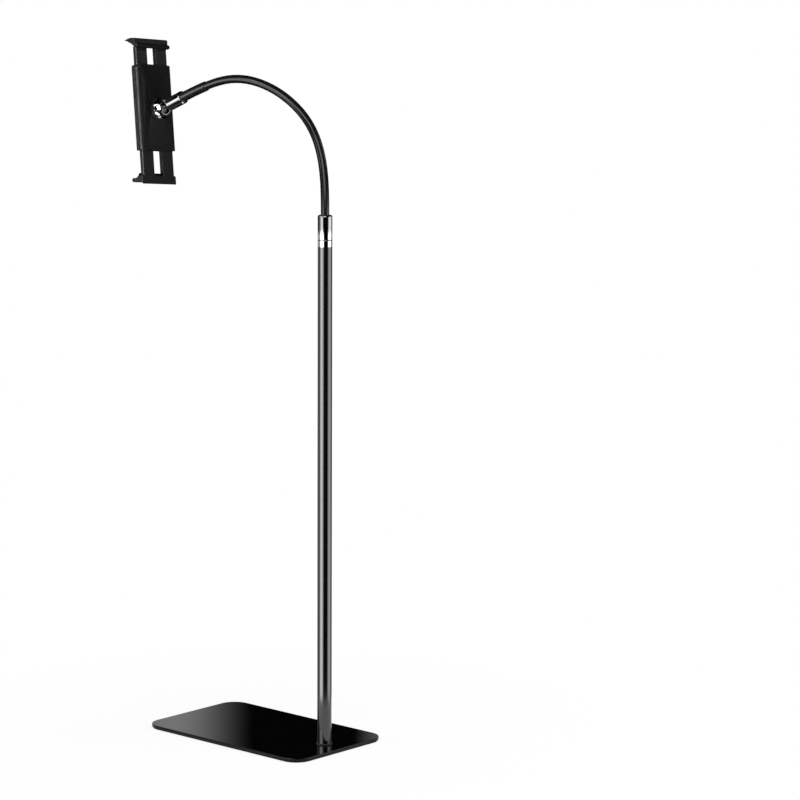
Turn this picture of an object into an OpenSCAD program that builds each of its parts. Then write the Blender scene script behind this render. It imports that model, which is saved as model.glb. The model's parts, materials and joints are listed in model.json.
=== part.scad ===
// Adjustable tablet floor stand: a weighted base, a pole set near one end of it,
// a bendable neck, and a ball-jointed clamp whose two jaws slide to fit a tablet.
// The underside of the base lies on z = 0, centred on the origin. +X points to the pole's
// end of the base, and the neck reaches towards -X.

/* [Base] */
// Length of the base, along X
base_l = 330; // [280:5:400]
// Width of the base, along Y
base_w = 200; // [150:5:260]
// Corner radius of the base, seen from above
base_r = 28; // [12:1:45]
// Thickness of the steel plate
plate_t = 5; // [5:0.5:10]
// Bevel along the plate's top edge
plate_bevel = 1; // [0.4:0.2:2]
// Thickness of the anti-slip pad under the plate
pad_t = 1.5; // [1:0.5:4]
// Distance from the plate's edge to the pad's edge
pad_inset = 1.5; // [1:0.5:10]

/* [Pole] */
// Outside diameter of the pole
pole_d = 22; // [20:0.5:32]
// Wall of the two pole tubes
pole_wall = 1.5; // [1:0.1:2]
// Length of each of the two pole tubes
tube_l = 381.5; // [200:0.5:500]
// Distance from the pole's axis to the near end of the base
pole_edge = 37.5; // [25:0.5:60]
// Thickness of the rubber gasket under the pole
gasket_t = 2; // [1:0.5:4]
// Distance that the gasket stands out round the pole
gasket_lip = 1.5; // [0.5:0.5:4]
// Depth of the plugs inside the pole's ends
plug_l = 25; // [20:1:40]
// Length of the coupler inside the seam of the two tubes
coupler_l = 60; // [30:2:100]
// Diameter of the screw that holds the pole on the base
screw_d = 8; // [6:1:10]

/* [Neck] */
// Height of the chrome ring on top of the pole
ring_h = 10; // [6:0.5:16]
// Height of the chrome ferrule that holds the neck
ferrule_h = 37; // [30:0.5:60]
// Diameter of the stud that the ferrule turns on
stud_d = 12; // [8:0.5:14]
// Outside diameter of the neck's sleeve
neck_d = 12.8; // [11:0.1:16]
// Diameter of the wound steel core in the neck
core_d = 9.6; // [6:0.2:9.8]
// Length of one bending link of the neck
link_l = 34; // [26:1:45]
// Length of the last link, which the end sleeve covers
tip_l = 57; // [35:1:80]
// Thickness of the end sleeve over the last link
end_sleeve_t = 1.2; // [0.4:0.1:1.5]
// Depth that the neck is seated in each ferrule
neck_seat = 15; // [8:0.5:17]

/* [Ball joint] */
// Outside diameter of the chrome ferrule at the clamp
tip_ferrule_d = 20.5; // [17:0.5:22]
// Length of the chrome ferrule at the clamp
tip_ferrule_l = 33.5; // [30:0.5:60]
// Diameter of the ball
ball_d = 17; // [15:0.5:18]
// Distance from the ferrule's end to the centre of the ball
ball_reach = 15.5; // [13:0.5:20]
// Diameter of the stud's waist between the ball and the ferrule
waist_d = 7; // [5:0.5:7.5]
// Wall of each of the two seats round the ball
seat_t = 0.75; // [0.5:0.05:1]
// Distance from the clamp's back to the centre of the ball
ball_standoff = 12.5; // [12:0.5:22]
// Distance that the ball's socket sits below the middle of the clamp's body
socket_drop = 2.6; // [0:0.2:6]
// Outside diameter of the lock nut
nut_d = 33; // [30:0.5:40]
// Lobes round the lock nut
nut_lobes = 8; // [6:1:16]
// Forward lean of the clamp's top, in degrees
clamp_lean = 10; // [-10:1:20]
// Roll of the clamp about the socket's axis, in degrees
clamp_roll = -5; // [-30:1:30]

/* [Clamp] */
// Width of the clamp's body
body_w = 72; // [60:1:90]
// Height of the clamp's body
body_h = 134; // [132:1:180]
// Thickness of the clamp's body
body_t = 15; // [13:0.5:20]
// Radius of the long edges of the clamp's back
body_r = 6; // [3:0.5:6.5]
// Radius of the top corners of the clamp's body, seen from its back
body_corner_r = 6.5; // [1.5:0.5:8]
// Wall of the back shell's flat back
back_t = 2.2; // [1.6:0.1:3]
// Thickness of the front cover
cover_t = 1.8; // [1.6:0.1:3]
// Wall of the back shell's sides
side_t = 3.5; // [2.5:0.1:5]
// Thickness of the jaws' rails
rail_t = 8; // [6:0.5:8.5]
// Gap between the two rails of a jaw
rail_gap = 18; // [16:0.5:26]
// Length of the rails below a jaw's head
rail_l = 65; // [60:1:65]
// Length of rail that shows above the body, at rest
upper_open = 26; // [6:0.5:44]
// Length of rail that shows below the body, at rest
lower_open = 39; // [6:0.5:44]
// Width of the jaws' heads
head_w = 71; // [60:1:95]
// Height of the upper jaw's head
upper_head_h = 16; // [12:0.5:20]
// Height of the lower jaw's head
lower_head_h = 13.5; // [9:0.5:20]
// Distance that the upper claw reaches out in front of the rails
upper_reach = 13.5; // [12:0.5:20]
// Distance that the lower claw reaches out in front of the rails
lower_reach = 17; // [15:0.5:22]
// Thickness of the rubber linings and of the front pad
grip_t = 1.3; // [0.8:0.1:2]

/* [Hidden] */
$fn = 64;

// Clearances
fit = 0.05; // radial gap of pieces that are pressed or screwed together
run = 0.08; // radial gap of a turning fit
slide = 0.3; // gap beside a piece that slides or bends
eps = 1; // overlap of a cutter past the face that it cuts

// Places along the pole, from the floor up
pole_r = pole_d / 2;
pole_x = base_l / 2 - pole_edge;
plate_top = pad_t + plate_t;
pole_z = plate_top + gasket_t;
seam_z = pole_z + tube_l;
pole_top = seam_z + tube_l;
plug_r = pole_r - pole_wall - fit;
ferrule_gap = 0.3;
ferrule_z = pole_top + ring_h + ferrule_gap;
neck_z = ferrule_z + ferrule_h;
ferrule_web = 6; // solid metal in the ferrule between the stud and the neck
stud_grip = ferrule_h - neck_seat - ferrule_web; // depth of the stud in the ferrule
groove = 0.6; // bevel on both sides of the groove between ring and ferrule
round_top = 2; // rounding of the ferrule's top edge

// The countersunk screw under the pole
head_r = screw_d;
head_h = screw_d / 2;
screw_margin = 5; // distance from the screw's end to the plug's end
screw_reach = plug_l - screw_margin;
hex_key_d = 0.7 * screw_d;
hex_key_floor = 1; // metal under the key's hole
hex_key_depth = head_h - hex_key_floor;
access_gap = 2; // bare ring round the screw's head
access_r = head_r + access_gap; // hole in the pad round the screw's head
coupler_wall = 3;

// Bend of each link of the neck in its resting pose, from the pole to the ball
link_turn = [2, 7, 12, 17, 15, 10, 9, 9, 10, 10.7, 7, 4];
last = len(link_turn) - 1;
neck_r = neck_d / 2;
core_r = core_d / 2;
step = 0.15; // small step from a link's side to its end
root = 0.5; // depth of a link's end piece inside the link
dome_r = neck_r - step; // rounded end of a link
seat_bore_r = neck_r - step + fit; // bore of the ferrules round the neck's seated ends
socket_r = dome_r + slide; // hollow end of a link, round the rounded end of the one before
dome_wall = 2; // solid sleeve beyond the core's bore at a link's rounded end
core_inset = 0.6; // distance from a link's hollow end to its core
end_sleeve_start = 3.5; // distance from the last bend to the end sleeve

// Heading of link k at its start, in degrees from upright towards -X
function heading(k) = k == 0 ? 0 : heading(k - 1) + link_turn[k - 1];
function link_length(k) = k == last ? tip_l : link_l;
function bend_r(k) = link_length(k) * 180 / (PI * link_turn[k]);
function chord(k) = bend_r(k) * [
    cos(heading(k + 1)) - cos(heading(k)),
    0,
    sin(heading(k + 1)) - sin(heading(k))
];
// Start of link k, which is the bending point between it and the link before
function hinge(k) = k == 0 ? [pole_x, 0, neck_z] : hinge(k - 1) + chord(k - 1);

// The ball joint, with the clamp's own X axis along the socket
tip_heading = heading(last + 1);
ball_r = ball_d / 2;
ball_dist = tip_ferrule_l + ball_reach;
ball_place = hinge(last + 1) + ball_dist * [-sin(tip_heading), 0, cos(tip_heading)];
stud_shank_r = 4;
tip_round = 4; // rounding of the ferrule's end at the ball
tip_web = 4; // solid metal in the ferrule between the neck and the stud
stud_shank_l = tip_ferrule_l - neck_seat - tip_web;
inner_seat_r = ball_r + run; // inside of the inner seat
outer_seat_r = inner_seat_r + seat_t + run; // inside of the outer seat
cup_r = outer_seat_r + seat_t + run; // hollow of the socket
socket_wall = 1.8; // wall of the socket's threaded boss
thread_r = cup_r + socket_wall; // outside of the boss
ball_x = body_t / 2 + ball_standoff; // ball's centre from the middle of the body
inner_seat_edge = 3.2; // distance from the ball's centre to the inner seat's rim
nut_gap = 1; // gap between the clamp's back and the lock nut
lip_from = 2.4; // start of the nut's lip past the ball's centre
lip_to = 4.1; // end of the nut's lip past the ball's centre
lip_mouth_r = sqrt(pow(ball_r + run, 2) - lip_to * lip_to); // mouth at the lip's end
mouth_flare = 2.5; // how far the mouth opens between the lip and the nut's face
mouth_depth = 1.4; // depth of the flared mouth
nut_face = lip_to + mouth_depth; // face of the nut past the ball's centre
nut_bevel = 1; // bevel of the nut's edge at the clamp
nut_slope = 1.5; // slope from the nut's lobes to its shoulder
cone_start = 1; // start of the nut's cone past the ball's centre
cone_wall = 1.2; // width of the cone's root past the thread
cone_inset = 0.5; // distance that the cone's end lies inside the thread
nut_r = nut_d / 2;
scallop_r = 3;
scallop_depth = 1.2;

// The clamp's body: X is its thickness, Y its width and Z its height
back_x = body_t / 2;
cover_x = cover_t - back_x; // inner face of the front cover
inner_back_x = back_x - back_t; // inner face of the back
cavity_w = body_w - 2 * side_t;
front_r = 1.5; // radius of the long edges of the clamp's front
foot_r = 1; // radius of the bottom corners of the clamp's body
web_t = 2.5; // wall that closes the lane between the rails at both ends
lane_w = rail_gap - 2 * slide; // room between the rails for the pieces inside
boss_r = 3.5;
cover_screw_r = 1.5;
cover_screw_head_r = 2.9;
cover_screw_head_h = 1.2;
cover_screw_l = 11;
screw_slot_l = 3.6; // cross slot in a cover screw's head
screw_slot_w = 0.6;
screw_slot_h = 0.7;
inner_screw_inset = 38.5; // distance from the body's end to the inner screw
outer_screw_inset = 12.5; // distance from the body's end to the outer screw
cover_screw_z = body_h / 2 * [1, 1] - [inner_screw_inset, outer_screw_inset]; // up and down
flange_t = 2;
flange_margin = 5; // distance that the flange stands out past the boss
flange_l = 2 * (thread_r + flange_margin);
flange_post_r = 2;
post_l = inner_back_x - flange_t - 2 * fit - cover_x + cover_t / 2; // posts that hold the flange
ring_wall = 0.6; // wall of the spring rings that brake the rails
ring_slot = 3; // slot in a spring ring

// The rails run between the front cover and ribs on the inside of the back
rail_front = cover_x + slide;
rail_back = rail_front + rail_t;
rail_mid = (rail_front + rail_back) / 2;
rail_w = cavity_w / 2 - slide - rail_gap / 2;
rail_y = (rail_gap + rail_w) / 2;
rail_r = 1.5; // rounding of the rails' edges
rail_root = 2; // depth of a rail inside its head
guide_inset = 3; // distance from a rail's side to the side of its rib
guide_w = rail_w - 2 * guide_inset; // width of the rib behind a rail

// The jaws' heads: X as the body, Z up from the head's underside
upper_z = body_h / 2 + upper_open; // underside of the upper head
lower_z = -body_h / 2 - lower_open - lower_head_h; // underside of the lower head
upper_step = 0.5; // distance that the upper head's back stands out behind the rails
upper_back = rail_back + upper_step;
top_bevel = 1; // bevel on the back edge of the upper head's top
upper_claw_x = rail_front - upper_reach;
claw_tip_t = 1;
claw_drop = 1.9; // fall of the upper head's top from its shoulder to the claw's tip
shoulder_reach = 3; // distance from the rails' fronts to the top's shoulder
shoulder_x = rail_front - shoulder_reach;
bead_r = 3.2; // bead along the back of the upper head
bead_reach = 1.3; // distance that the bead's centre stands out behind the head
bead_x = upper_back + bead_reach;
bead_groove = 0.5; // groove above the bead
rail_flare = 4.5; // slope between the bead and the rails' backs
lower_step = 0.2; // distance that the lower head's back lies inside the rails' backs
lower_back = rail_back - lower_step;
lower_claw_x = rail_front - lower_reach;
nose_r = 3.3; // round nose of the lower claw
nose_z = 7.7; // height of the nose's centre above the lower head's underside
shelf_z = 3; // height of the shelf's underside at the head's back
heel_w = 1.2; // width of the step under the shelf, along the back
gusset_h = 4; // height of the lower claw's slope above the head's top
head_bevel = 1.5; // bevel on the back edges of the lower head
lining_side = 4; // bare strip at both ends of a lining
lining_w = head_w - 2 * lining_side;
lining_margin = 2.5; // bare strip beside a lining
front_pad_margin = 6; // bare strip round the front pad
front_pad_w = body_w - 2 * front_pad_margin;
front_pad_h = body_h - 2 * front_pad_margin;
front_pad_r = 5;

// Centre of the circle of radius r through two points, to the right of the way from p to q
function arc_centre(p, q, r) =
    let (d = q - p, half = norm(d) / 2, off = sqrt(r * r - half * half) / norm(d))
    (p + q) / 2 + off * [d.y, -d.x];

// The hollow under the upper claw, and the one above the lower claw
upper_tip = [upper_claw_x, upper_head_h - claw_drop - claw_tip_t];
root_inset = 0.5; // distance from the rails' backs to the upper hollow's end
upper_root = [rail_back - root_inset, 0];
upper_round = 1.8; // radius of the upper hollow, in widths of it
upper_hollow_r = upper_round * norm(upper_root - upper_tip);
upper_hollow = arc_centre(upper_tip, upper_root, upper_hollow_r);
lower_root = [rail_front, lower_head_h + gusset_h];
nose_lip = [1.6, 0.75]; // end of the lower hollow on the nose, in radii of the nose
lower_tip = [lower_claw_x, nose_z] + nose_r * nose_lip;
lower_round = 0.87; // radius of the lower hollow, in widths of it
lower_hollow_r = lower_round * norm(lower_root - lower_tip);
lower_hollow = arc_centre(lower_root, lower_tip, lower_hollow_r);

// Shared shapes

// Flat rectangle with round corners, centred
module round_rect(l, w, r) {
    square([l - 2 * r, w], center = true);
    square([l, w - 2 * r], center = true);
    for (x = [-1, 1], y = [-1, 1])
        translate([x * (l / 2 - r), y * (w / 2 - r)])
            circle(r = r);
}

// Slope round the top of a plate with round corners: from the full outline to one that is b smaller
module bevel_layer(l, w, r, b) {
    rotate([90, 0, 90])
        linear_extrude(height = l - 2 * r, center = true)
            polygon([[-w / 2, 0], [w / 2, 0], [w / 2 - b, b], [b - w / 2, b]]);
    rotate([90, 0, 0])
        linear_extrude(height = w - 2 * r, center = true)
            polygon([[-l / 2, 0], [l / 2, 0], [l / 2 - b, b], [b - l / 2, b]]);
    for (x = [-1, 1], y = [-1, 1])
        translate([x * (l / 2 - r), y * (w / 2 - r), 0])
            cylinder(r1 = r, r2 = r - b, h = b);
}

// Hollow cylinder standing on z = 0
module tube(r_out, r_in, h) {
    difference() {
        cylinder(r = r_out, h = h);
        translate([0, 0, -eps])
            cylinder(r = r_in, h = h + 2 * eps);
    }
}

// Front half of a ball at the origin, from a little below z = 0
module dome(r) {
    intersection() {
        sphere(r = r);
        translate([-r - eps, -r - eps, -root])
            cube([2 * (r + eps), 2 * (r + eps), root + r + eps]);
    }
}

module at_pole(z) {
    translate([pole_x, 0, z])
        children();
}

// Places children at the start of link k, with Z along the neck
module at_hinge(k) {
    translate(hinge(k))
        rotate([0, -heading(k), 0])
            children();
}

// Round rod along link k, between two distances from its start
module neck_rod(k, r, from, to) {
    turn = 180 / (PI * bend_r(k));
    at_hinge(k)
        translate([-bend_r(k), 0, 0])
            rotate([90, 0, 0])
                rotate([0, 0, from * turn])
                    rotate_extrude(angle = (to - from) * turn)
                        translate([bend_r(k), 0])
                            circle(r = r);
}

// Places children in the clamp, with the middle of its body at the origin
module in_clamp() {
    translate(ball_place)
        rotate([0, -clamp_lean, 0])
            rotate([clamp_roll, 0, 0])
                translate([-ball_x, 0, socket_drop])
                    children();
}

// Places children in the clamp, with the socket's axis on its X axis
module in_socket() {
    in_clamp()
        translate([0, 0, -socket_drop])
            children();
}

// Places children at the ball's centre in the clamp
module at_ball() {
    in_socket()
        translate([ball_x, 0, 0])
            children();
}

// Turns children's Z axis to the clamp's X axis, from a given x
module along_x(x) {
    translate([x, 0, 0])
        rotate([0, 90, 0])
            children();
}

// Draws a flat outline of X and Z, w wide in Y
module across(w) {
    rotate([90, 0, 0])
        linear_extrude(height = w, center = true)
            children();
}

// Base

module base_plate() {
    color("#141416")
        difference() {
            translate([0, 0, pad_t]) {
                linear_extrude(height = plate_t - plate_bevel)
                    round_rect(base_l, base_w, base_r);
                translate([0, 0, plate_t - plate_bevel])
                    bevel_layer(base_l, base_w, base_r, plate_bevel);
            }
            at_pole(pad_t - eps)
                cylinder(r = screw_d / 2 + slide, h = plate_t + 2 * eps);
            at_pole(pad_t)
                cylinder(r1 = head_r + fit, r2 = screw_d / 2 + fit, h = head_h + fit);
        }
}

module base_pad() {
    color("#232323")
        difference() {
            linear_extrude(height = pad_t)
                round_rect(base_l - 2 * pad_inset, base_w - 2 * pad_inset, base_r - pad_inset);
            at_pole(-eps)
                cylinder(r = access_r, h = pad_t + 2 * eps);
        }
}

module base_screw() {
    color("#8c8c90")
        at_pole(pad_t)
            difference() {
                union() {
                    cylinder(r1 = head_r, r2 = screw_d / 2, h = head_h);
                    cylinder(r = screw_d / 2, h = plate_t + gasket_t + screw_reach);
                }
                translate([0, 0, -eps])
                    cylinder(d = hex_key_d, h = hex_key_depth + eps, $fn = 6);
            }
}

module foot_gasket() {
    color("#1c1c1c")
        at_pole(plate_top)
            tube(pole_r + gasket_lip, screw_d / 2 + slide, gasket_t);
}

// Pole

module foot_plug() {
    color("#8c8c90")
        at_pole(pole_z)
            tube(plug_r, screw_d / 2 + fit, plug_l);
}

module pole_tube(z) {
    color("#0c0c0e")
        at_pole(z)
            tube(pole_r, pole_r - pole_wall, tube_l);
}

module pole_lower() {
    pole_tube(pole_z);
}

module pole_upper() {
    pole_tube(seam_z);
}

module pole_coupler() {
    color("#8c8c90")
        at_pole(seam_z - coupler_l / 2)
            tube(plug_r, plug_r - coupler_wall, coupler_l);
}

module pole_top_plug() {
    color("#8c8c90") {
        at_pole(pole_top - plug_l)
            cylinder(r = plug_r, h = plug_l);
        at_pole(pole_top)
            cylinder(d = stud_d, h = ring_h + ferrule_gap + stud_grip);
    }
}

module ferrule_ring() {
    color("#d8d8dc")
        at_pole(pole_top)
            rotate_extrude()
                polygon([
                    [stud_d / 2 + fit, 0],
                    [pole_r, 0],
                    [pole_r, ring_h - groove],
                    [pole_r - groove, ring_h],
                    [stud_d / 2 + fit, ring_h]
                ]);
}

module lower_ferrule() {
    color("#d8d8dc")
        at_pole(ferrule_z)
            difference() {
                rotate_extrude() {
                    polygon([
                        [0, 0],
                        [pole_r - groove, 0],
                        [pole_r, groove],
                        [pole_r, ferrule_h - round_top],
                        [pole_r - round_top, ferrule_h],
                        [0, ferrule_h]
                    ]);
                    translate([pole_r - round_top, ferrule_h - round_top])
                        circle(r = round_top);
                }
                translate([0, 0, -eps])
                    cylinder(r = stud_d / 2 + run, h = stud_grip + ferrule_gap + eps);
                translate([0, 0, ferrule_h - neck_seat - fit])
                    cylinder(r = seat_bore_r, h = neck_seat + fit + eps);
            }
}

// Neck

// Straight rod that seats an end of the neck in its ferrule, one small step thinner than the link,
// with its end a distance past the seat
module seat_rod(k, r, past) {
    if (k == 0)
        at_hinge(0)
            translate([0, 0, -neck_seat - past])
                cylinder(r = r - step, h = past + neck_seat + root);
    if (k == last)
        at_hinge(last + 1)
            translate([0, 0, -root])
                cylinder(r = r - step, h = root + neck_seat + past);
}

// Distance along link k at which its core's bore ends
function bore_end(k) = k == last ? link_length(k) : link_length(k) - dome_wall;

module neck_sleeve(k) {
    color("#161616")
        difference() {
            union() {
                neck_rod(k, neck_r, 0, link_length(k));
                seat_rod(k, neck_r, 0);
                if (k < last)
                    at_hinge(k + 1)
                        dome(dome_r);
            }
            neck_rod(k, core_r + fit, 0, bore_end(k));
            seat_rod(k, core_r + fit, eps);
            if (k > 0)
                at_hinge(k)
                    sphere(r = socket_r);
        }
}

module neck_core(k) {
    color("#77777c")
        difference() {
            union() {
                neck_rod(k, core_r, 0, bore_end(k) - (k == last ? 0 : fit));
                seat_rod(k, core_r, 0);
            }
            if (k > 0)
                at_hinge(k)
                    sphere(r = socket_r + core_inset);
        }
}

module neck_end_sleeve() {
    color("#111111")
        difference() {
            neck_rod(last, neck_r + fit + end_sleeve_t, end_sleeve_start, tip_l);
            neck_rod(last, neck_r + fit, end_sleeve_start - eps, tip_l + eps);
        }
}

module upper_ferrule() {
    color("#d8d8dc")
        at_hinge(last + 1)
            difference() {
                rotate_extrude() {
                    polygon([
                        [0, 0],
                        [tip_ferrule_d / 2 - groove, 0],
                        [tip_ferrule_d / 2, groove],
                        [tip_ferrule_d / 2, tip_ferrule_l - tip_round],
                        [tip_ferrule_d / 2 - tip_round, tip_ferrule_l],
                        [0, tip_ferrule_l]
                    ]);
                    translate([tip_ferrule_d / 2 - tip_round, tip_ferrule_l - tip_round])
                        circle(r = tip_round);
                }
                translate([0, 0, -eps])
                    cylinder(r = seat_bore_r, h = neck_seat + fit + eps);
                translate([0, 0, tip_ferrule_l - stud_shank_l - fit])
                    cylinder(r = stud_shank_r + fit, h = stud_shank_l + fit + eps);
            }
}

// Ball joint

module ball_stud() {
    color("#3a3a3e")
        at_hinge(last + 1) {
            translate([0, 0, ball_dist])
                sphere(r = ball_r);
            translate([0, 0, tip_ferrule_l])
                cylinder(d = waist_d, h = ball_reach);
            translate([0, 0, tip_ferrule_l - stud_shank_l])
                cylinder(r = stud_shank_r, h = stud_shank_l);
        }
}

// Part of a hollow ball, on the clamp's side of a plane that lies at x from the ball's centre
module ball_shell(r_in, x) {
    r_out = r_in + seat_t;
    at_ball()
        intersection() {
            difference() {
                sphere(r = r_out);
                sphere(r = r_in);
            }
            translate([-r_out - eps, -r_out - eps, -r_out - eps])
                cube([r_out + eps + x, 2 * (r_out + eps), 2 * (r_out + eps)]);
        }
}

module inner_ball_seat() {
    color("#e6e6e0")
        ball_shell(inner_seat_r, -inner_seat_edge);
}

module outer_ball_seat() {
    color("#d0d0c8")
        ball_shell(outer_seat_r, 0);
}

module ball_socket() {
    color("#18181a")
        in_socket()
            difference() {
                union() {
                    along_x(inner_back_x - fit)
                        cylinder(r = thread_r, h = ball_x - inner_back_x + fit);
                    translate([inner_back_x - fit - flange_t, -lane_w / 2, -flange_l / 2])
                        cube([flange_t, lane_w, flange_l]);
                }
                translate([ball_x, 0, 0])
                    sphere(r = cup_r);
            }
}

module lock_nut() {
    color("#101012")
        in_socket()
            difference() {
                along_x(0)
                    rotate_extrude()
                        polygon([
                            [0, back_x + nut_gap],
                            [nut_r - nut_bevel, back_x + nut_gap],
                            [nut_r, back_x + nut_gap + nut_bevel],
                            [nut_r, ball_x - 2 * nut_slope],
                            [nut_r - nut_slope, ball_x - nut_slope],
                            [thread_r + cone_wall, ball_x + cone_start],
                            [thread_r - cone_inset, ball_x + nut_face],
                            [0, ball_x + nut_face]
                        ]);
                along_x(back_x)
                    cylinder(r = thread_r + run, h = ball_x - back_x + slide);
                translate([ball_x, 0, 0])
                    sphere(r = ball_r + run);
                along_x(ball_x)
                    cylinder(r = cup_r + run, h = lip_from);
                along_x(ball_x + lip_to)
                    cylinder(r1 = lip_mouth_r, r2 = lip_mouth_r + mouth_flare, h = nut_face - lip_to + fit);
                for (i = [0:nut_lobes - 1])
                    along_x(0)
                        rotate([0, 0, 360 * i / nut_lobes])
                            translate([nut_r + scallop_r - scallop_depth, 0, 0])
                                cylinder(r = scallop_r, h = ball_x);
            }
}

// Clamp body

// Outline of the body across its height: X is its thickness and Y its width
module body_outline() {
    for (y = [-1, 1]) {
        translate([back_x - body_r, y * (body_w / 2 - body_r)])
            circle(r = body_r);
        translate([front_r - back_x, y * (body_w / 2 - front_r)])
            circle(r = front_r);
    }
    translate([front_r - back_x, -body_w / 2])
        square([body_t - body_r - front_r, body_w]);
    translate([-back_x, front_r - body_w / 2])
        square([body_t - body_r, body_w - 2 * front_r]);
    translate([-back_x + front_r, body_r - body_w / 2])
        square([body_t - front_r, body_w - 2 * body_r]);
}

// Outline of the body seen from its back, with its top towards +X and its width along Y
module body_face() {
    translate([-body_h / 2 + foot_r, -body_w / 2])
        square([body_h - foot_r - body_corner_r, body_w]);
    translate([-body_h / 2, foot_r - body_w / 2])
        square([body_h / 2, body_w - 2 * foot_r]);
    translate([0, body_corner_r - body_w / 2])
        square([body_h / 2, body_w - 2 * body_corner_r]);
    for (y = [-1, 1]) {
        translate([foot_r - body_h / 2, y * (body_w / 2 - foot_r)])
            circle(r = foot_r);
        translate([body_h / 2 - body_corner_r, y * (body_w / 2 - body_corner_r)])
            circle(r = body_corner_r);
    }
}

// The whole body, before it is divided into shell and cover
module body_block() {
    intersection() {
        linear_extrude(height = body_h, center = true)
            body_outline();
        along_x(-body_t)
            rotate([0, 0, 180])
                linear_extrude(height = 2 * body_t)
                    body_face();
    }
}

// The space in front of the shell, which the cover takes
module cover_side() {
    translate([cover_x - body_t, -body_w, -body_h])
        cube([body_t, 2 * body_w, 2 * body_h]);
}

// Places children at each screw of the front cover
module at_cover_screws() {
    for (side = [-1, 1], z = cover_screw_z)
        translate([0, 0, side * z])
            children();
}

module clamp_back_shell() {
    color("#1f1f20")
        in_clamp()
            difference() {
                union() {
                    difference() {
                        body_block();
                        cover_side();
                        translate([cover_x - eps, -cavity_w / 2, -body_h])
                            cube([inner_back_x - cover_x + eps, cavity_w, 2 * body_h]);
                    }
                    for (side = [-1, 1]) {
                        translate([cover_x, -lane_w / 2, side * (body_h - web_t) / 2 - web_t / 2])
                            cube([inner_back_x - cover_x + eps, lane_w, web_t]);
                        translate([rail_back + slide, side * rail_y - guide_w / 2, -body_h / 2 + web_t])
                            cube([back_x - rail_back - slide - back_t / 2, guide_w, body_h - 2 * web_t]);
                    }
                    at_cover_screws()
                        along_x(cover_x)
                            cylinder(r = boss_r, h = inner_back_x - cover_x + eps);
                }
                translate([0, 0, -socket_drop])
                    along_x(inner_back_x - flange_t - eps)
                        cylinder(r = thread_r + fit, h = flange_t + back_t + 2 * eps);
                at_cover_screws()
                    along_x(cover_x - eps)
                        cylinder(r = cover_screw_r + fit, h = cover_screw_l - cover_t + 2 * eps);
            }
}

module clamp_front_cover() {
    color("#1b1b1c")
        in_clamp()
            difference() {
                union() {
                    intersection() {
                        body_block();
                        cover_side();
                    }
                    for (side = [-1, 1])
                        translate([0, 0, side * (flange_l / 2 - flange_post_r) - socket_drop])
                            along_x(cover_x - cover_t / 2)
                                cylinder(r = flange_post_r, h = post_l);
                }
                at_cover_screws() {
                    along_x(-back_x - eps)
                        cylinder(r = cover_screw_head_r + fit, h = cover_screw_head_h + eps);
                    along_x(-back_x)
                        cylinder(r = cover_screw_r + fit, h = body_t);
                }
            }
}

module cover_screws() {
    color("#55555a")
        in_clamp()
            at_cover_screws()
                along_x(-back_x)
                    difference() {
                        union() {
                            cylinder(r = cover_screw_head_r, h = cover_screw_head_h);
                            cylinder(r = cover_screw_r, h = cover_screw_l);
                        }
                        for (turn = [0, 90])
                            rotate([0, 0, turn])
                                translate([-screw_slot_l / 2, -screw_slot_w / 2, -eps])
                                    cube([screw_slot_l, screw_slot_w, eps + screw_slot_h]);
                    }
}

// Split spring rings in the lane between the rails, which brake the upper and the lower jaw
module brake_rings() {
    color("#8c8c90")
        in_clamp()
            for (side = [-1, 1])
                translate([0, 0, side * cover_screw_z[1]])
                    along_x(cover_x + slide)
                        difference() {
                            tube(rail_gap / 2 - run, rail_gap / 2 - run - ring_wall, rail_t);
                            translate([-side * rail_gap / 2 - ring_slot, -ring_slot / 2, -eps])
                                cube([2 * ring_slot, ring_slot, rail_t + 2 * eps]);
                        }
}

module front_pad() {
    color("#262628")
        in_clamp()
            translate([-back_x - grip_t, 0, 0])
                rotate([90, 0, 90])
                    linear_extrude(height = grip_t)
                        round_rect(front_pad_w, front_pad_h, front_pad_r);
}

// Jaws

// Both rails of a jaw, from z up
module rails(z, l) {
    for (y = [-1, 1])
        translate([rail_mid, y * rail_y, z])
            linear_extrude(height = l)
                round_rect(rail_t, rail_w, rail_r);
}

module upper_head_outline() {
    difference() {
        union() {
            polygon([
                upper_tip,
                upper_tip + [0, claw_tip_t],
                [shoulder_x, upper_head_h],
                [upper_back - top_bevel, upper_head_h - top_bevel],
                [upper_back, upper_head_h - 2 * top_bevel],
                [upper_back, 2 * bead_r + bead_groove],
                [upper_back - bead_groove, 2 * bead_r],
                [bead_x, bead_r],
                [bead_x, 0],
                upper_root,
                [upper_claw_x, 0]
            ]);
            translate([bead_x, bead_r])
                circle(r = bead_r);
        }
        translate(upper_hollow)
            circle(r = upper_hollow_r);
    }
}

module upper_jaw() {
    color("#1d1d1e")
        in_clamp()
            translate([0, 0, upper_z]) {
                across(head_w)
                    upper_head_outline();
                rails(-rail_l, rail_l + rail_root);
                for (y = [-1, 1])
                    translate([0, y * rail_y, 0])
                        across(rail_w - 2 * rail_r)
                            polygon([
                                [rail_mid, -rail_flare],
                                [rail_back, -rail_flare],
                                [bead_x, bead_r / 2],
                                [rail_mid, bead_r / 2]
                            ]);
            }
}

module lower_head_outline() {
    difference() {
        union() {
            polygon([
                [lower_claw_x + nose_r, nose_z - nose_r],
                [lower_back - heel_w, shelf_z],
                [lower_back - heel_w, 0],
                [lower_back - head_bevel / 2, 0],
                [lower_back, head_bevel / 2],
                [lower_back, lower_head_h - head_bevel],
                [lower_back - head_bevel, lower_head_h],
                [rail_front, lower_head_h],
                lower_root,
                [lower_tip.x, lower_root.y],
                lower_tip,
                [lower_claw_x + nose_r, nose_z]
            ]);
            translate([lower_claw_x + nose_r, nose_z])
                circle(r = nose_r);
        }
        translate(lower_hollow)
            circle(r = lower_hollow_r);
    }
}

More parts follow.
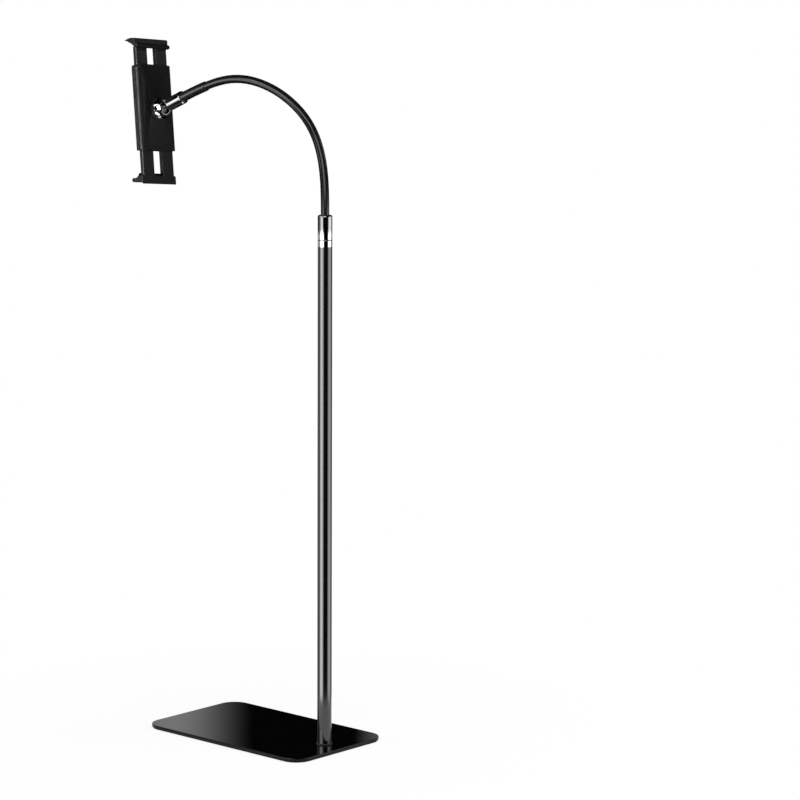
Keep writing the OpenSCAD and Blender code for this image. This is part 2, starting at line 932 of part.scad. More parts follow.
module lower_jaw() {
    color("#121213")
        in_clamp()
            translate([0, 0, lower_z]) {
                across(head_w)
                    lower_head_outline();
                rails(lower_head_h - rail_root, rail_l + rail_root);
            }
}

// Rubber strip in the hollow of a claw: a ring's part between two distances along X,
// above the hollow's centre (side 0) or below it (side -1)
module lining(hollow, r, from, to, side) {
    color("#2a2a2c")
        across(lining_w)
            intersection() {
                translate(hollow)
                    difference() {
                        circle(r = r - fit);
                        circle(r = r - fit - grip_t);
                    }
                translate([from, hollow.y + side * r])
                    square([to - from, r]);
            }
}

module upper_jaw_lining() {
    in_clamp()
        translate([0, 0, upper_z])
            lining(upper_hollow, upper_hollow_r, upper_claw_x + lining_margin, rail_front - slide, 0);
}

module lower_jaw_lining() {
    in_clamp()
        translate([0, 0, lower_z])
            lining(lower_hollow, lower_hollow_r, lower_tip.x + fit, rail_front - lining_margin, -1);
}

base_plate();
base_pad();
base_screw();
foot_gasket();
foot_plug();
pole_lower();
pole_coupler();
pole_upper();
pole_top_plug();
ferrule_ring();
lower_ferrule();
for (k = [0:last])
    neck_sleeve(k);
for (k = [0:last])
    neck_core(k);
neck_end_sleeve();
upper_ferrule();
ball_stud();
inner_ball_seat();
outer_ball_seat();
ball_socket();
lock_nut();
clamp_back_shell();
clamp_front_cover();
cover_screws();
brake_rings();
front_pad();
upper_jaw();
upper_jaw_lining();
lower_jaw();
lower_jaw_lining();
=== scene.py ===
# Adjustable tablet floor stand: models the pieces that show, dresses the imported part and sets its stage
import json
import math

import bmesh
import bpy
from bpy.props import FloatProperty, FloatVectorProperty, IntProperty, PointerProperty
from mathutils import Matrix, Vector
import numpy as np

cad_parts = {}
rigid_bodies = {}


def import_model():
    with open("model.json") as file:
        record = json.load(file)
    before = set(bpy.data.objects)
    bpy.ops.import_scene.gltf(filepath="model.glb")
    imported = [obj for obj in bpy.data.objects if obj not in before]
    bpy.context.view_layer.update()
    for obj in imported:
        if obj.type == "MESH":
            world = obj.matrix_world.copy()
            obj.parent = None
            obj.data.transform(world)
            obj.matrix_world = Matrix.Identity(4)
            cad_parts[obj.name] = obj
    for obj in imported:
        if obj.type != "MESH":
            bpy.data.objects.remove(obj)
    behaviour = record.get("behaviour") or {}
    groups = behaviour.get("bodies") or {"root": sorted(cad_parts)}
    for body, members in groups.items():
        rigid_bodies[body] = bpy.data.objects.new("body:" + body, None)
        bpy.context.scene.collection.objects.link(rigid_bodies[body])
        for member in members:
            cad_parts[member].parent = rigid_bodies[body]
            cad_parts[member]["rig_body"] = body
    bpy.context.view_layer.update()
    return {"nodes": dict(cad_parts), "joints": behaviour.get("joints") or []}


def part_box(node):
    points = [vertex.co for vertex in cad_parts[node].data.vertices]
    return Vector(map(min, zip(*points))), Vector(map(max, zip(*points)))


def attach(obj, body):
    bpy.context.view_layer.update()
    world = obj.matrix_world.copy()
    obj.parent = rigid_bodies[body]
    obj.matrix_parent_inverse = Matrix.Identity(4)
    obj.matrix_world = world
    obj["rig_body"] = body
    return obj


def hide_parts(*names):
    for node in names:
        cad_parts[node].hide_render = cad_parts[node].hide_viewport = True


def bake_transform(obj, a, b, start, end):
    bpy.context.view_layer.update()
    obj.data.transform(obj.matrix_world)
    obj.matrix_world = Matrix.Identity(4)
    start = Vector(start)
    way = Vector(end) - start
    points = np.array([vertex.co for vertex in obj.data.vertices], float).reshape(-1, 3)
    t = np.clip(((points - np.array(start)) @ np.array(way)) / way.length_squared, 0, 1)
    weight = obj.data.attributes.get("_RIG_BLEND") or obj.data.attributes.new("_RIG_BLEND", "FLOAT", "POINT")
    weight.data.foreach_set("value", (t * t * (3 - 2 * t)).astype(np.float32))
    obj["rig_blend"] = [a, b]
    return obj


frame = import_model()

bl_info = {
    "name": "Tablet floor stand",
    "version": (1, 0, 0),
    "blender": (4, 5, 0),
    "location": "3D View > Sidebar > Stand",
    "description": "Models and dresses an adjustable tablet floor stand",
    "category": "Add Mesh",
}

LINKS = 12  # bending links of the neck
KNUCKLE = 6  # joint of the neck whose sleeve is in two halves round a ball
FAR_FIRST = 7  # joint of the neck whose sleeve is blended from its far body to its near one
TINY = 1e-6  # distance in metres under which two places are the same
FIT = 0.00005  # gap in metres between two pieces of which one sits in the other
SCREW_GAP = 0.0002  # gap in metres round the head of the base's screw
PAST = 0.01  # distance in metres that a cutter runs past what it cuts
SEED = 0.001  # width in metres of the plane that a traced line starts from
PARALLEL = 0.999  # share of an edge's length along an axis from which it is parallel to that axis
FLAT = math.radians(0.05)  # angle under which two faces are parts of one flat face
SOFT_CREASE = 40.0  # angle in degrees that stays smooth on the neck

# Places that come from the frame

NODES = frame["nodes"]
JOINTS = {joint["name"]: joint for joint in frame["joints"]}


def joint_place(name):
    """The place of a joint, in metres."""
    return Vector(JOINTS[name]["pos_m"])


def joint_axis(name):
    """The direction of a joint's axis."""
    return Vector(JOINTS[name]["axis"]).normalized()


def box_from(node, place):
    """Lowest and highest corner of a node, measured in the axes of a place."""
    inverse = place.inverted()
    corners = [inverse @ vertex.co for vertex in NODES[node].data.vertices]
    low = Vector([min(corner[i] for corner in corners) for i in range(3)])
    high = Vector([max(corner[i] for corner in corners) for i in range(3)])
    return low, high


def clamp_place():
    """The clamp's own axes: X out of its back, Z up its height, from the middle of its body."""
    x = joint_axis("clamp_spin")
    z = joint_axis("clamp_pan")
    place = Matrix((x, z.cross(x), z)).transposed().to_4x4()
    place.translation = joint_place("clamp_tilt")
    front = box_from("clamp_front_cover", place)[0]
    low, back = box_from("clamp_back_shell", place)
    return place @ Matrix.Translation(((front.x + back.x) / 2, 0, (low.z + back.z) / 2))


CLAMP = clamp_place()
SHELL_LOW, SHELL_HIGH = box_from("clamp_back_shell", CLAMP)
BALL = CLAMP.inverted() @ joint_place("clamp_tilt")
BALL_X = BALL.x
SOCKET = CLAMP @ Matrix.Translation((0, 0, BALL.z))
POLE_X = (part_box("pole_lower")[0].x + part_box("pole_lower")[1].x) / 2
NECK_START = Vector((POLE_X, 0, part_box("lower_ferrule")[1].z))


def round_size(node):
    """Radius and height of an upright round node."""
    low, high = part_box(node)
    return (high.x - low.x) / 2, high.z - low.z


def upright(node):
    """Axes on the pole's axis at the foot of a node."""
    return Matrix.Translation((POLE_X, 0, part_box(node)[0].z))


# Sizes and colours that a user would change


def size(name, description, default):
    """A length that shows in the sidebar."""
    return FloatProperty(
        name=name, description=description, default=default, min=0.0, precision=5, unit="LENGTH"
    )


def turn(name, description, degrees):
    """An angle that shows in the sidebar."""
    return FloatProperty(
        name=name, description=description, default=math.radians(degrees), subtype="ANGLE"
    )


def tint(name, description, default):
    """A colour that shows in the sidebar."""
    return FloatVectorProperty(
        name=name, description=description, default=default, min=0.0, max=1.0, subtype="COLOR"
    )


class StandBaseSizes(bpy.types.PropertyGroup):
    corner: size("Corner", "Corner radius of the plate, seen from above", 0.028)
    rim: size("Top rim", "Rounding along the plate's top edge", 0.001)
    foot_rim: size("Lower rim", "Rounding along the plate's lower edge", 0.0004)
    pad_rim: size("Pad rim", "Rounding along the pad's lower edge", 0.0005)
    screw_hole: size("Screw hole", "Radius of the pad's hole round the screw", 0.010)


class StandPoleSizes(bpy.types.PropertyGroup):
    wall: size("Wall", "Wall of the pole's tubes", 0.0015)
    edge: size("Edge", "Broken edge at the ends of a tube", 0.00012)
    gasket_edge: size("Gasket edge", "Rounding of the gasket's rim", 0.0007)
    gasket_hole: size("Gasket hole", "Radius of the screw's hole in the gasket", 0.0043)
    steps: IntProperty(name="Steps", description="Facets round the pole", default=96, min=12)


class StandFerruleSizes(bpy.types.PropertyGroup):
    groove: size("Groove", "Bevel on both sides of the groove under the ferrule", 0.0006)
    top_round: size("Top", "Rounding of the lower ferrule's top edge", 0.002)
    stud_bore: size("Stud bore", "Radius of the bore round the pole's stud", 0.00608)
    stud_depth: size("Stud depth", "Depth of the bore round the pole's stud", 0.0163)
    neck_seat: size("Seat", "Depth that the neck is seated in a ferrule", 0.015)
    tip_radius: size("Tip radius", "Radius of the ferrule at the clamp", 0.01025)
    tip_length: size("Tip length", "Length of the ferrule at the clamp", 0.0335)
    tip_round: size("Tip rounding", "Rounding of that ferrule's end at the ball", 0.004)
    shank_bore: size("Shank bore", "Radius of the bore round the ball's shank", 0.00405)
    shank_length: size("Shank", "Length of the ball's shank in the ferrule", 0.0145)


class StandNeckSizes(bpy.types.PropertyGroup):
    radius: size("Radius", "Outside radius of the neck's sleeve", 0.0064)
    tip_link: size("Last link", "Length of the neck's last link", 0.057)
    tip_turn: turn("Last bend", "Bend of the neck's last link", 4.0)
    sleeve_start: size("Sleeve start", "Distance from the last bend to the end sleeve", 0.0035)
    sleeve_wall: size("Sleeve wall", "Thickness of the end sleeve", 0.0012)
    facets: IntProperty(name="Facets", description="Facets round the neck", default=40, min=8)
    steps: IntProperty(name="Steps", description="Steps along half a link", default=6, min=1)


class StandNutSizes(bpy.types.PropertyGroup):
    radius: size("Radius", "Outside radius of the lock nut's lobes", 0.0165)
    bevel: size("Bevel", "Bevel of the nut's edge at the clamp", 0.001)
    gap: size("Gap", "Gap between the clamp's back and the nut", 0.001)
    slope: size("Slope", "Slope from the lobes to the nut's shoulder", 0.0015)
    thread: size("Thread", "Radius of the nut's thread", 0.01212)
    cone_root: size("Cone root", "Radius of the cone's root", 0.01324)
    cone_start: size("Cone start", "Start of the cone past the ball's centre", 0.001)
    face_radius: size("Face radius", "Outside radius of the nut's face", 0.01154)
    face: size("Face", "Face of the nut past the ball's centre", 0.0055)
    mouth_radius: size("Mouth", "Radius of the mouth at the nut's face", 0.01004)
    lip_radius: size("Lip radius", "Radius of the mouth at the lip", 0.00754)
    lip: size("Lip", "End of the lip past the ball's centre", 0.0041)
    lip_start: size("Lip start", "Start of the lip past the ball's centre", 0.0024)
    scallop: size("Scallop", "Radius of a hollow between two lobes", 0.003)
    scallop_depth: size("Scallop depth", "Depth of a hollow between two lobes", 0.0012)
    edge: size("Edge", "Rounding of the nut's edges", 0.00025)
    lobes: IntProperty(name="Lobes", description="Lobes round the lock nut", default=8, min=3)
    ball: size("Ball", "Radius of the ball", 0.0085)
    waist: size("Waist", "Radius of the stud's waist", 0.0035)


class StandClampSizes(bpy.types.PropertyGroup):
    back_round: size("Back edges", "Radius of the long edges of the back", 0.006)
    front_round: size("Front edges", "Radius of the long edges of the front", 0.0015)
    top_corner: size("Top corners", "Radius of the body's top corners", 0.0065)
    foot_corner: size("Foot corners", "Radius of the body's bottom corners", 0.001)
    edge: size("Edge", "Rounding of the body's other edges", 0.0003)
    side: size("Side wall", "Wall of the body's sides", 0.0035)
    back: size("Back wall", "Wall of the body's back", 0.0022)
    web: size("Web", "Wall between the rails at the body's ends", 0.0025)
    pad_corner: size("Pad corner", "Corner radius of the front pad", 0.005)
    pad_edge: size("Pad edge", "Rounding of the front pad's rim", 0.0005)
    socket: size("Socket hole", "Radius of the hole for the ball's socket", 0.01209)


class StandJawSizes(bpy.types.PropertyGroup):
    rail: size("Rail", "Thickness of the rails", 0.008)
    rail_gap: size("Rail gap", "Gap between the two rails of a jaw", 0.018)
    rail_width: size("Rail width", "Width of a rail", 0.0232)
    upper_head: size("Upper head", "Height of the upper jaw's head", 0.016)
    bead: size("Bead", "Radius of the bead along the upper head's back", 0.0032)
    flare: size("Flare", "Height of the slopes from the rails to the bead", 0.0045)
    lower_head: size("Lower head", "Height of the lower jaw's head", 0.0135)
    nose: size("Nose", "Radius of the lower claw's nose", 0.0033)
    nose_height: size("Nose height", "Height of the nose's centre above the lower head's foot", 0.0077)
    shelf: size("Shelf", "Height of the lower claw's underside at the heel", 0.003)
    gusset: size("Gusset", "Height of the gusset between the lower claw and the rails", 0.004)
    rail_round: size("Rail edges", "Rounding of the rails' long edges", 0.0015)
    slide: size("Slide", "Gap beside a rail", 0.0003)
    root: size("Root", "Depth of a rail inside its head", 0.002)
    end: size("Ends", "Rounding of the heads' ends", 0.0006)
    lining: size("Lining", "Thickness of a jaw's lining", 0.0013)
    lining_edge: size("Lining edge", "Rounding of a lining's ends", 0.0003)


class StandColours(bpy.types.PropertyGroup):
    enamel: tint("Enamel", "Gloss black of the base", (0.0022, 0.0022, 0.0024))
    lacquer: tint("Lacquer", "Gloss black of the pole", (0.0020, 0.0020, 0.0022))
    chrome: tint("Chrome", "Plating of the ferrules", (0.55, 0.555, 0.57))
    cover: tint("Neck", "Sleeve of the neck", (0.0060, 0.0060, 0.0062))
    plastic: tint("Clamp", "Moulded plastic of the clamp", (0.0105, 0.0105, 0.0110))
    jaw: tint("Jaws", "Moulded plastic of the jaws", (0.0035, 0.0035, 0.0038))
    rubber: tint("Rubber", "Linings and gasket", (0.0090, 0.0090, 0.0092))
    foam: tint("Foam", "Pads", (0.0120, 0.0120, 0.0122))
    steel: tint("Steel", "Zinc-plated inner pieces", (0.46, 0.46, 0.47))
    dark_steel: tint("Ball", "Blackened steel of the ball", (0.10, 0.10, 0.105))
    seat_dark: tint("Seats, dark", "Darkest tone of the ball's seats", (0.62, 0.62, 0.58))
    seat_light: tint("Seats, light", "Lightest tone of the ball's seats", (0.70, 0.70, 0.66))


class StandStageSizes(bpy.types.PropertyGroup):
    azimuth: turn("Azimuth", "Camera's turn round the stand from -Y", 41.66)
    elevation: turn("Elevation", "Camera's height above the horizon", 8.90)
    roll: turn("Roll", "Camera's roll", 0.285)
    distance: size("Distance", "From the camera to the point that it looks at", 5.401)
    lens: FloatProperty(
        name="Lens", description="Focal length in millimetres", default=144.0, unit="CAMERA"
    )
    look_at: FloatVectorProperty(
        name="Look at",
        description="Point in the middle of the picture",
        default=(-0.170, 0.5047, 0.450),
        subtype="TRANSLATION",
    )
    floor: size("Floor", "Width of the floor", 40.0)
    tent: size("Tent", "Radius of the light tent round the neck and the clamp", 0.75)
    tent_foot: size("Tent foot", "Radius of the light tent round the base and the pole", 0.32)
    tent_step: size("Tent step", "Height at which the light tent widens", 0.812)
    tent_height: size("Tent height", "Height of the light tent", 1.85)
    tent_edge: size("Tent edge", "Soft edge above and below the tent's panels", 0.01)


GROUPS = {
    "stand_base": StandBaseSizes,
    "stand_pole": StandPoleSizes,
    "stand_ferrules": StandFerruleSizes,
    "stand_neck": StandNeckSizes,
    "stand_nut": StandNutSizes,
    "stand_clamp": StandClampSizes,
    "stand_jaws": StandJawSizes,
    "stand_colours": StandColours,
    "stand_stage": StandStageSizes,
}


# Modelling steps that several pieces share


def activate(piece):
    """Selects one object and nothing else."""
    bpy.ops.object.select_all(action="DESELECT")
    piece.select_set(True)
    bpy.context.view_layer.objects.active = piece


def add(name, operator, **settings):
    """Adds a primitive with nothing else selected, and applies its place."""
    bpy.ops.object.select_all(action="DESELECT")
    operator(**settings)
    piece = bpy.context.active_object
    piece.name = name
    piece.data.name = name
    bpy.ops.object.transform_apply(location=True, rotation=True, scale=True)
    return piece


def block(name, low, high):
    """Adds a block between two corners."""
    low = Vector(low)
    high = Vector(high)
    return add(
        name, bpy.ops.mesh.primitive_cube_add, size=1.0, location=(low + high) / 2, scale=high - low
    )


def pick(piece, kind, test):
    """Goes into edit mode with only the vertices, edges or faces selected that pass the test."""
    activate(piece)
    bpy.ops.object.mode_set(mode="EDIT")
    bpy.ops.mesh.select_mode(type=kind)
    bpy.ops.mesh.select_all(action="DESELECT")
    mesh = bmesh.from_edit_mesh(piece.data)
    items = {"VERT": mesh.verts, "EDGE": mesh.edges, "FACE": mesh.faces}[kind]
    chosen = [item for item in items if test(item)]
    if not chosen:
        raise RuntimeError(piece.name + ": nothing passes the test")
    for item in chosen:
        item.select_set(True)
    bmesh.update_edit_mesh(piece.data)


def leave():
    """Goes back to object mode."""
    bpy.ops.object.mode_set(mode="OBJECT")


def runs_along(edge, axis):
    """True for an edge that is parallel to an axis."""
    across = edge.verts[1].co - edge.verts[0].co
    return abs(across[axis]) > PARALLEL * across.length


def lies_at(item, axis, value):
    """True if all of an edge or face lies at one place along an axis."""
    return all(abs(vertex.co[axis] - value) < TINY for vertex in item.verts)


def round_edges(piece, test, radius, segments):
    """Bevels the edges that pass the test."""
    pick(piece, "EDGE", test)
    bpy.ops.mesh.bevel(offset=radius, offset_type="OFFSET", segments=segments, profile=0.5, affect="EDGES")
    leave()


def modify(piece, kind, **settings):
    """Adds a modifier and applies it."""
    activate(piece)
    modifier = piece.modifiers.new(kind.title(), kind)
    for key, value in settings.items():
        setattr(modifier, key, value)
    bpy.ops.object.modifier_apply(modifier=modifier.name)


def combine(piece, other, operation):
    """Joins another object to a piece, or cuts it out, and removes it."""
    modify(piece, "BOOLEAN", object=other, operation=operation, solver="EXACT")
    bpy.data.objects.remove(other)


def drill(piece, radius, depth, location, vertices=64, rotation=(0, 0, 0)):
    """Cuts a round hole out of a piece."""
    hole = add(
        "hole",
        bpy.ops.mesh.primitive_cylinder_add,
        vertices=vertices,
        radius=radius,
        depth=depth,
        location=location,
        rotation=rotation,
    )
    combine(piece, hole, "DIFFERENCE")


def soften(piece, radius, segments, degrees):
    """Rounds every edge that is sharper than an angle."""
    modify(
        piece,
        "BEVEL",
        width=radius,
        segments=segments,
        limit_method="ANGLE",
        angle_limit=math.radians(degrees),
        harden_normals=False,
        use_clamp_overlap=True,
    )


def smooth(piece, degrees=32.0):
    """Shades a piece smooth, but for its sharp edges, and keeps its flat faces flat."""
    pick(piece, "FACE", lambda face: True)
    bpy.ops.mesh.dissolve_limited(angle_limit=FLAT)
    leave()
    bpy.ops.object.shade_smooth_by_angle(angle=math.radians(degrees))
    modify(piece, "WEIGHTED_NORMAL", keep_sharp=True, weight=100)


def copy_of(piece, name):
    """Copies a piece with a mesh of its own."""
    activate(piece)
    bpy.ops.object.duplicate(linked=False)
    twin = bpy.context.active_object
    twin.name = name
    twin.data.name = name
    return twin


def put(piece, place):
    """Moves a piece that was modelled at the origin to its place, in its mesh."""
    activate(piece)
    piece.matrix_world = place
    bpy.ops.object.transform_apply(location=True, rotation=True, scale=True)


def trace(name, points):
    """Draws a line from point to point and stays in edit mode."""
    piece = add(name, bpy.ops.mesh.primitive_plane_add, size=SEED, location=points[0])
    bpy.ops.object.mode_set(mode="EDIT")
    bpy.ops.mesh.select_mode(type="VERT")
    bpy.ops.mesh.select_all(action="SELECT")
    bpy.ops.mesh.merge(type="CENTER")
    for start, end in zip(points, points[1:]):
        step = Vector(end) - Vector(start)
        bpy.ops.mesh.extrude_region_move(TRANSFORM_OT_translate={"value": step})
    return piece


def tidy_mesh():
    """Merges doubles and turns all faces outwards, in edit mode, then leaves it."""
    bpy.ops.mesh.select_all(action="SELECT")
    bpy.ops.mesh.remove_doubles(threshold=TINY)
    bpy.ops.mesh.normals_make_consistent(inside=False)
    leave()


def turned(name, profile, steps):
    """Turns a profile of radius and height round the Z axis."""
    piece = trace(name, [(radius, 0, height) for radius, height in profile])
    bpy.ops.mesh.select_all(action="SELECT")
    bpy.ops.mesh.spin(steps=steps, angle=math.tau, center=(0, 0, 0), axis=(0, 0, 1))
    tidy_mesh()
    return piece


def drawn(name, outline, width):
    """Fills an outline of X and Z and draws it out to a width along Y, centred."""
    piece = trace(name, [(x, -width / 2, z) for x, z in outline])
    bpy.ops.mesh.select_all(action="SELECT")
    bpy.ops.mesh.remove_doubles(threshold=TINY)
    bpy.ops.mesh.edge_face_add()
    bpy.ops.mesh.extrude_region_move(TRANSFORM_OT_translate={"value": (0, width, 0)})
    tidy_mesh()
    return piece


def tube_profile(inside, outside, height, low_edge, high_edge):
    """Profile of a tube that is bevelled at its outer edges."""
    return [
        (inside, 0),
        (outside - low_edge, 0),
        (outside, low_edge),
        (outside, height - high_edge),
        (outside - high_edge, height),
        (inside, height),
        (inside, 0),
    ]


def arc(centre, radius, start, end, steps):
    """Points on a circle from one angle to another, in degrees."""
    angles = [math.radians(start + (end - start) * i / steps) for i in range(steps + 1)]
    return [(centre[0] + radius * math.cos(a), centre[1] + radius * math.sin(a)) for a in angles]


def bearing(centre, point):
    """Angle in degrees at which a point lies from a centre."""
    return math.degrees(math.atan2(point[1] - centre[1], point[0] - centre[0]))


def hollow_centre(start, end, radius):
    """Centre of a circle through two points, to the right of the way between them."""
    start = Vector(start)
    way = Vector(end) - start
    off = math.sqrt(radius * radius - way.length_squared / 4) / way.length
    return start + way / 2 + off * Vector((way.y, -way.x))


# Finishes

PATTERN_LOW = 0.3  # value of a pattern from which a finish begins to run
PATTERN_HIGH = 0.7  # value of a pattern at which it ends


def shader_node(tree, kind, inputs, **settings):
    """Adds a shader node, and sets its inputs or links them to other nodes' outputs."""
    node = tree.nodes.new(kind)
    for key, value in settings.items():
        setattr(node, key, value)
    for key, value in inputs.items():
        if isinstance(value, bpy.types.NodeSocket):
            tree.links.new(value, node.inputs[key])
        else:
            node.inputs[key].default_value = value
    return node


def maths(tree, operation, *values):
    """A sum of patterns and numbers."""
    return shader_node(tree, "ShaderNodeMath", dict(enumerate(values)), operation=operation).outputs[0]


def clouds(scale, detail=3.0, stretch=(1, 1, 1)):
    """A cloudy pattern with a given number of clouds to the metre."""
    return "ShaderNodeTexNoise", "Fac", {"Scale": scale, "Detail": detail}, stretch


def cells(scale):
    """A pattern of round cells."""
    return "ShaderNodeTexVoronoi", "Distance", {"Scale": scale}, (1, 1, 1)


def pattern_on(tree, pattern):
    """Adds a pattern on object coordinates."""
    kind, output, inputs, stretch = pattern
    place = shader_node(tree, "ShaderNodeTexCoord", {}).outputs["Object"]
    place = shader_node(tree, "ShaderNodeMapping", {"Vector": place, "Scale": stretch}).outputs["Vector"]
    return shader_node(tree, kind, {"Vector": place, **inputs}).outputs[output]


def tones(key, dark, light):
    """A colour from the sidebar, made darker and lighter."""
    return (key, dark), (key, light)


def moulded(key, low, high):
    """Moulded plastic with a fine spark-eroded grain."""
    colour = (clouds(140.0), tones(key, 0.85, 1.2))
    return {"Specular IOR Level": 0.35}, colour, (clouds(500.0), low, high), (cells(2200.0), 0.00002, 0.6)


def rubber():
    """Dull rubber with a talc bloom."""
    colour = (clouds(300.0), tones("rubber", 0.7, 1.6))
    return {"Specular IOR Level": 0.3}, colour, (clouds(700.0), 0.62, 0.78), (clouds(3000.0), 0.00003, 1.0)


def plated_steel(stretch):
    """Zinc-plated steel with a cloudy passivation."""
    colour = (clouds(200.0), tones("steel", 0.8, 1.15))
    gloss = (clouds(900.0, stretch=stretch), 0.26, 0.40)
    return {"Metallic": 1.0}, colour, gloss, (clouds(1800.0, stretch=stretch), 0.00001, 1.0)


# Each finish has shader sockets, the colour's pattern and tones, the roughness's pattern and limits, and the
# relief's pattern, depth in metres and strength
FINISHES = {
    # Baked gloss enamel with a faint orange peel
    "black_enamel": (
        {"Specular IOR Level": 0.25},
        (clouds(60.0), tones("enamel", 0.7, 1.4)),
        (clouds(35.0), 0.05, 0.11),
        (clouds(700.0, detail=1.0), 0.000004, 1.0),
    ),
    # Gloss lacquer over a drawn tube, with faint lines along it
    "black_lacquer": (
        {"Specular IOR Level": 1.0},
        (clouds(30.0), tones("lacquer", 0.8, 1.5)),
        (clouds(900.0, detail=2.0, stretch=(1, 1, 0.01)), 0.10, 0.16),
        (clouds(900.0, detail=2.0, stretch=(1, 1, 0.01)), 0.000003, 1.0),
    ),
    # Polished chrome plating with faint turning marks
    "bright_chrome": (
        {"Metallic": 1.0},
        (clouds(90.0), tones("chrome", 0.96, 1.04)),
        (clouds(400.0), 0.045, 0.085),
        (clouds(1500.0), 0.0000012, 1.0),
    ),
    # Soft satin sleeve with a fine leathery skin
    "neck_cover": (
        {"Specular IOR Level": 0.9},
        (clouds(120.0), tones("cover", 0.8, 1.3)),
        (clouds(220.0), 0.14, 0.18),
        (clouds(2600.0, detail=4.0), 0.000004, 1.0),
    ),
    # Shrunk sleeve, a little rougher than the neck
    "end_cover": (
        {"Specular IOR Level": 0.9},
        (clouds(150.0), tones("cover", 0.6, 1.0)),
        (clouds(260.0), 0.2, 0.26),
        (clouds(1400.0), 0.000008, 1.0),
    ),
    # Matte plastic of the clamp's body and satin plastic of the jaws
    "clamp_black": moulded("plastic", 0.38, 0.46),
    "jaw_black": moulded("jaw", 0.30, 0.38),
    "foot_rubber": rubber(),
    "grip_rubber": rubber(),
    # Closed-cell foam
    "pad_foam": (
        {"Specular IOR Level": 0.25},
        (cells(1600.0), tones("foam", 0.5, 1.5)),
        (clouds(800.0), 0.80, 0.92),
        (cells(1600.0), 0.0001, 1.0),
    ),
    # Steel of the screws and plugs, of the neck's wound core and of the brake rings
    "inner_steel": plated_steel((1, 1, 1)),
    "neck_core": plated_steel((1, 4, 1)),
    "spring_steel": plated_steel((1, 1, 3)),
    # Blackened and polished steel
    "dark_ball": (
        {"Metallic": 1.0},
        (clouds(260.0), tones("dark_steel", 0.8, 1.2)),
        (clouds(700.0), 0.24, 0.32),
        (clouds(2400.0), 0.000004, 1.0),
    ),
    # Pale slippery plastic of the ball's seats
    "ball_seat": (
        {"Specular IOR Level": 0.4},
        (clouds(200.0), (("seat_dark", 1.0), ("seat_light", 1.0))),
        (clouds(600.0), 0.35, 0.45),
        (clouds(1500.0), 0.000008, 1.0),
    ),
}


def finish(name):
    """Makes the material of a finish, or makes it anew."""
    sockets, (colours, pair), (gloss, low, high), (grain, depth, strength) = FINISHES[name]
    material = bpy.data.materials.get(name) or bpy.data.materials.new(name)
    material.use_nodes = True
    tree = material.node_tree
    for node in list(tree.nodes):
        if node.name not in ("Principled BSDF", "Material Output"):
            tree.nodes.remove(node)
    shader = tree.nodes["Principled BSDF"]
    for socket, value in sockets.items():
        shader.inputs[socket].default_value = value
    ramp = shader_node(tree, "ShaderNodeValToRGB", {"Fac": pattern_on(tree, colours)})
    for element, value, (key, share) in zip(ramp.color_ramp.elements, (PATTERN_LOW, PATTERN_HIGH), pair):
        tone = getattr(bpy.context.scene.stand_colours, key)
        element.position = value
        element.color = (*(share * channel for channel in tone), 1)
    limits = {"From Min": PATTERN_LOW, "From Max": PATTERN_HIGH, "To Min": low, "To Max": high}
    rough = shader_node(tree, "ShaderNodeMapRange", {"Value": pattern_on(tree, gloss), **limits})
    raised = {"Height": pattern_on(tree, grain), "Distance": depth, "Strength": strength}
    relief = shader_node(tree, "ShaderNodeBump", raised)
    tree.links.new(ramp.outputs["Color"], shader.inputs["Base Color"])
    tree.links.new(rough.outputs["Result"], shader.inputs["Roughness"])
    tree.links.new(relief.outputs["Normal"], shader.inputs["Normal"])
    return material


def dress(piece, look, slot, *nodes):
    """Gives a modelled piece its finish and its body, in place of CAD nodes."""
    piece.data.materials.clear()
    piece.data.materials.append(finish(look))
    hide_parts(*nodes)
    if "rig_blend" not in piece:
        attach(piece, NODES[nodes[0]]["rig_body"])


def settle(piece, place, look, slot, *nodes):
    """Puts a modelled piece in its place, shades it smooth and dresses it."""
    put(piece, place)
    smooth(piece)
    dress(piece, look, slot, *nodes)


# Operators: one for each group of like pieces


class StandBase(bpy.types.Operator):
    """Models the plate and the pad that the stand stands on"""

    bl_idname = "stand.base"
    bl_label = "Base plate and pad"

    def execute(self, context):
        sizes = context.scene.stand_base
        self.plate(sizes)
        self.pad(sizes)
        return {"FINISHED"}

    def plate(self, sizes):
        low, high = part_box("base_plate")
        plate = block("plate", low, high)
        round_edges(plate, lambda edge: runs_along(edge, 2), sizes.corner, 20)
        round_edges(plate, lambda edge: lies_at(edge, 2, high.z), sizes.rim, 4)
        round_edges(plate, lambda edge: lies_at(edge, 2, low.z), sizes.foot_rim, 2)
        clearance = round_size("base_screw")[0] + SCREW_GAP
        drill(plate, clearance, 4 * (high.z - low.z), (POLE_X, 0, low.z), vertices=48)
        smooth(plate)
        dress(plate, "black_enamel", "black_enamel", "base_plate")

    def pad(self, sizes):
        low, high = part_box("base_pad")
        inset = low.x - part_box("base_plate")[0].x
        pad = block("floor_pad", low, high)
        round_edges(pad, lambda edge: runs_along(edge, 2), sizes.corner - inset, 20)
        round_edges(pad, lambda edge: lies_at(edge, 2, low.z), sizes.pad_rim, 3)
        drill(pad, sizes.screw_hole, 4 * (high.z - low.z), (POLE_X, 0, low.z))
        smooth(pad)
        dress(pad, "pad_foam", "pad_foam", "base_pad")


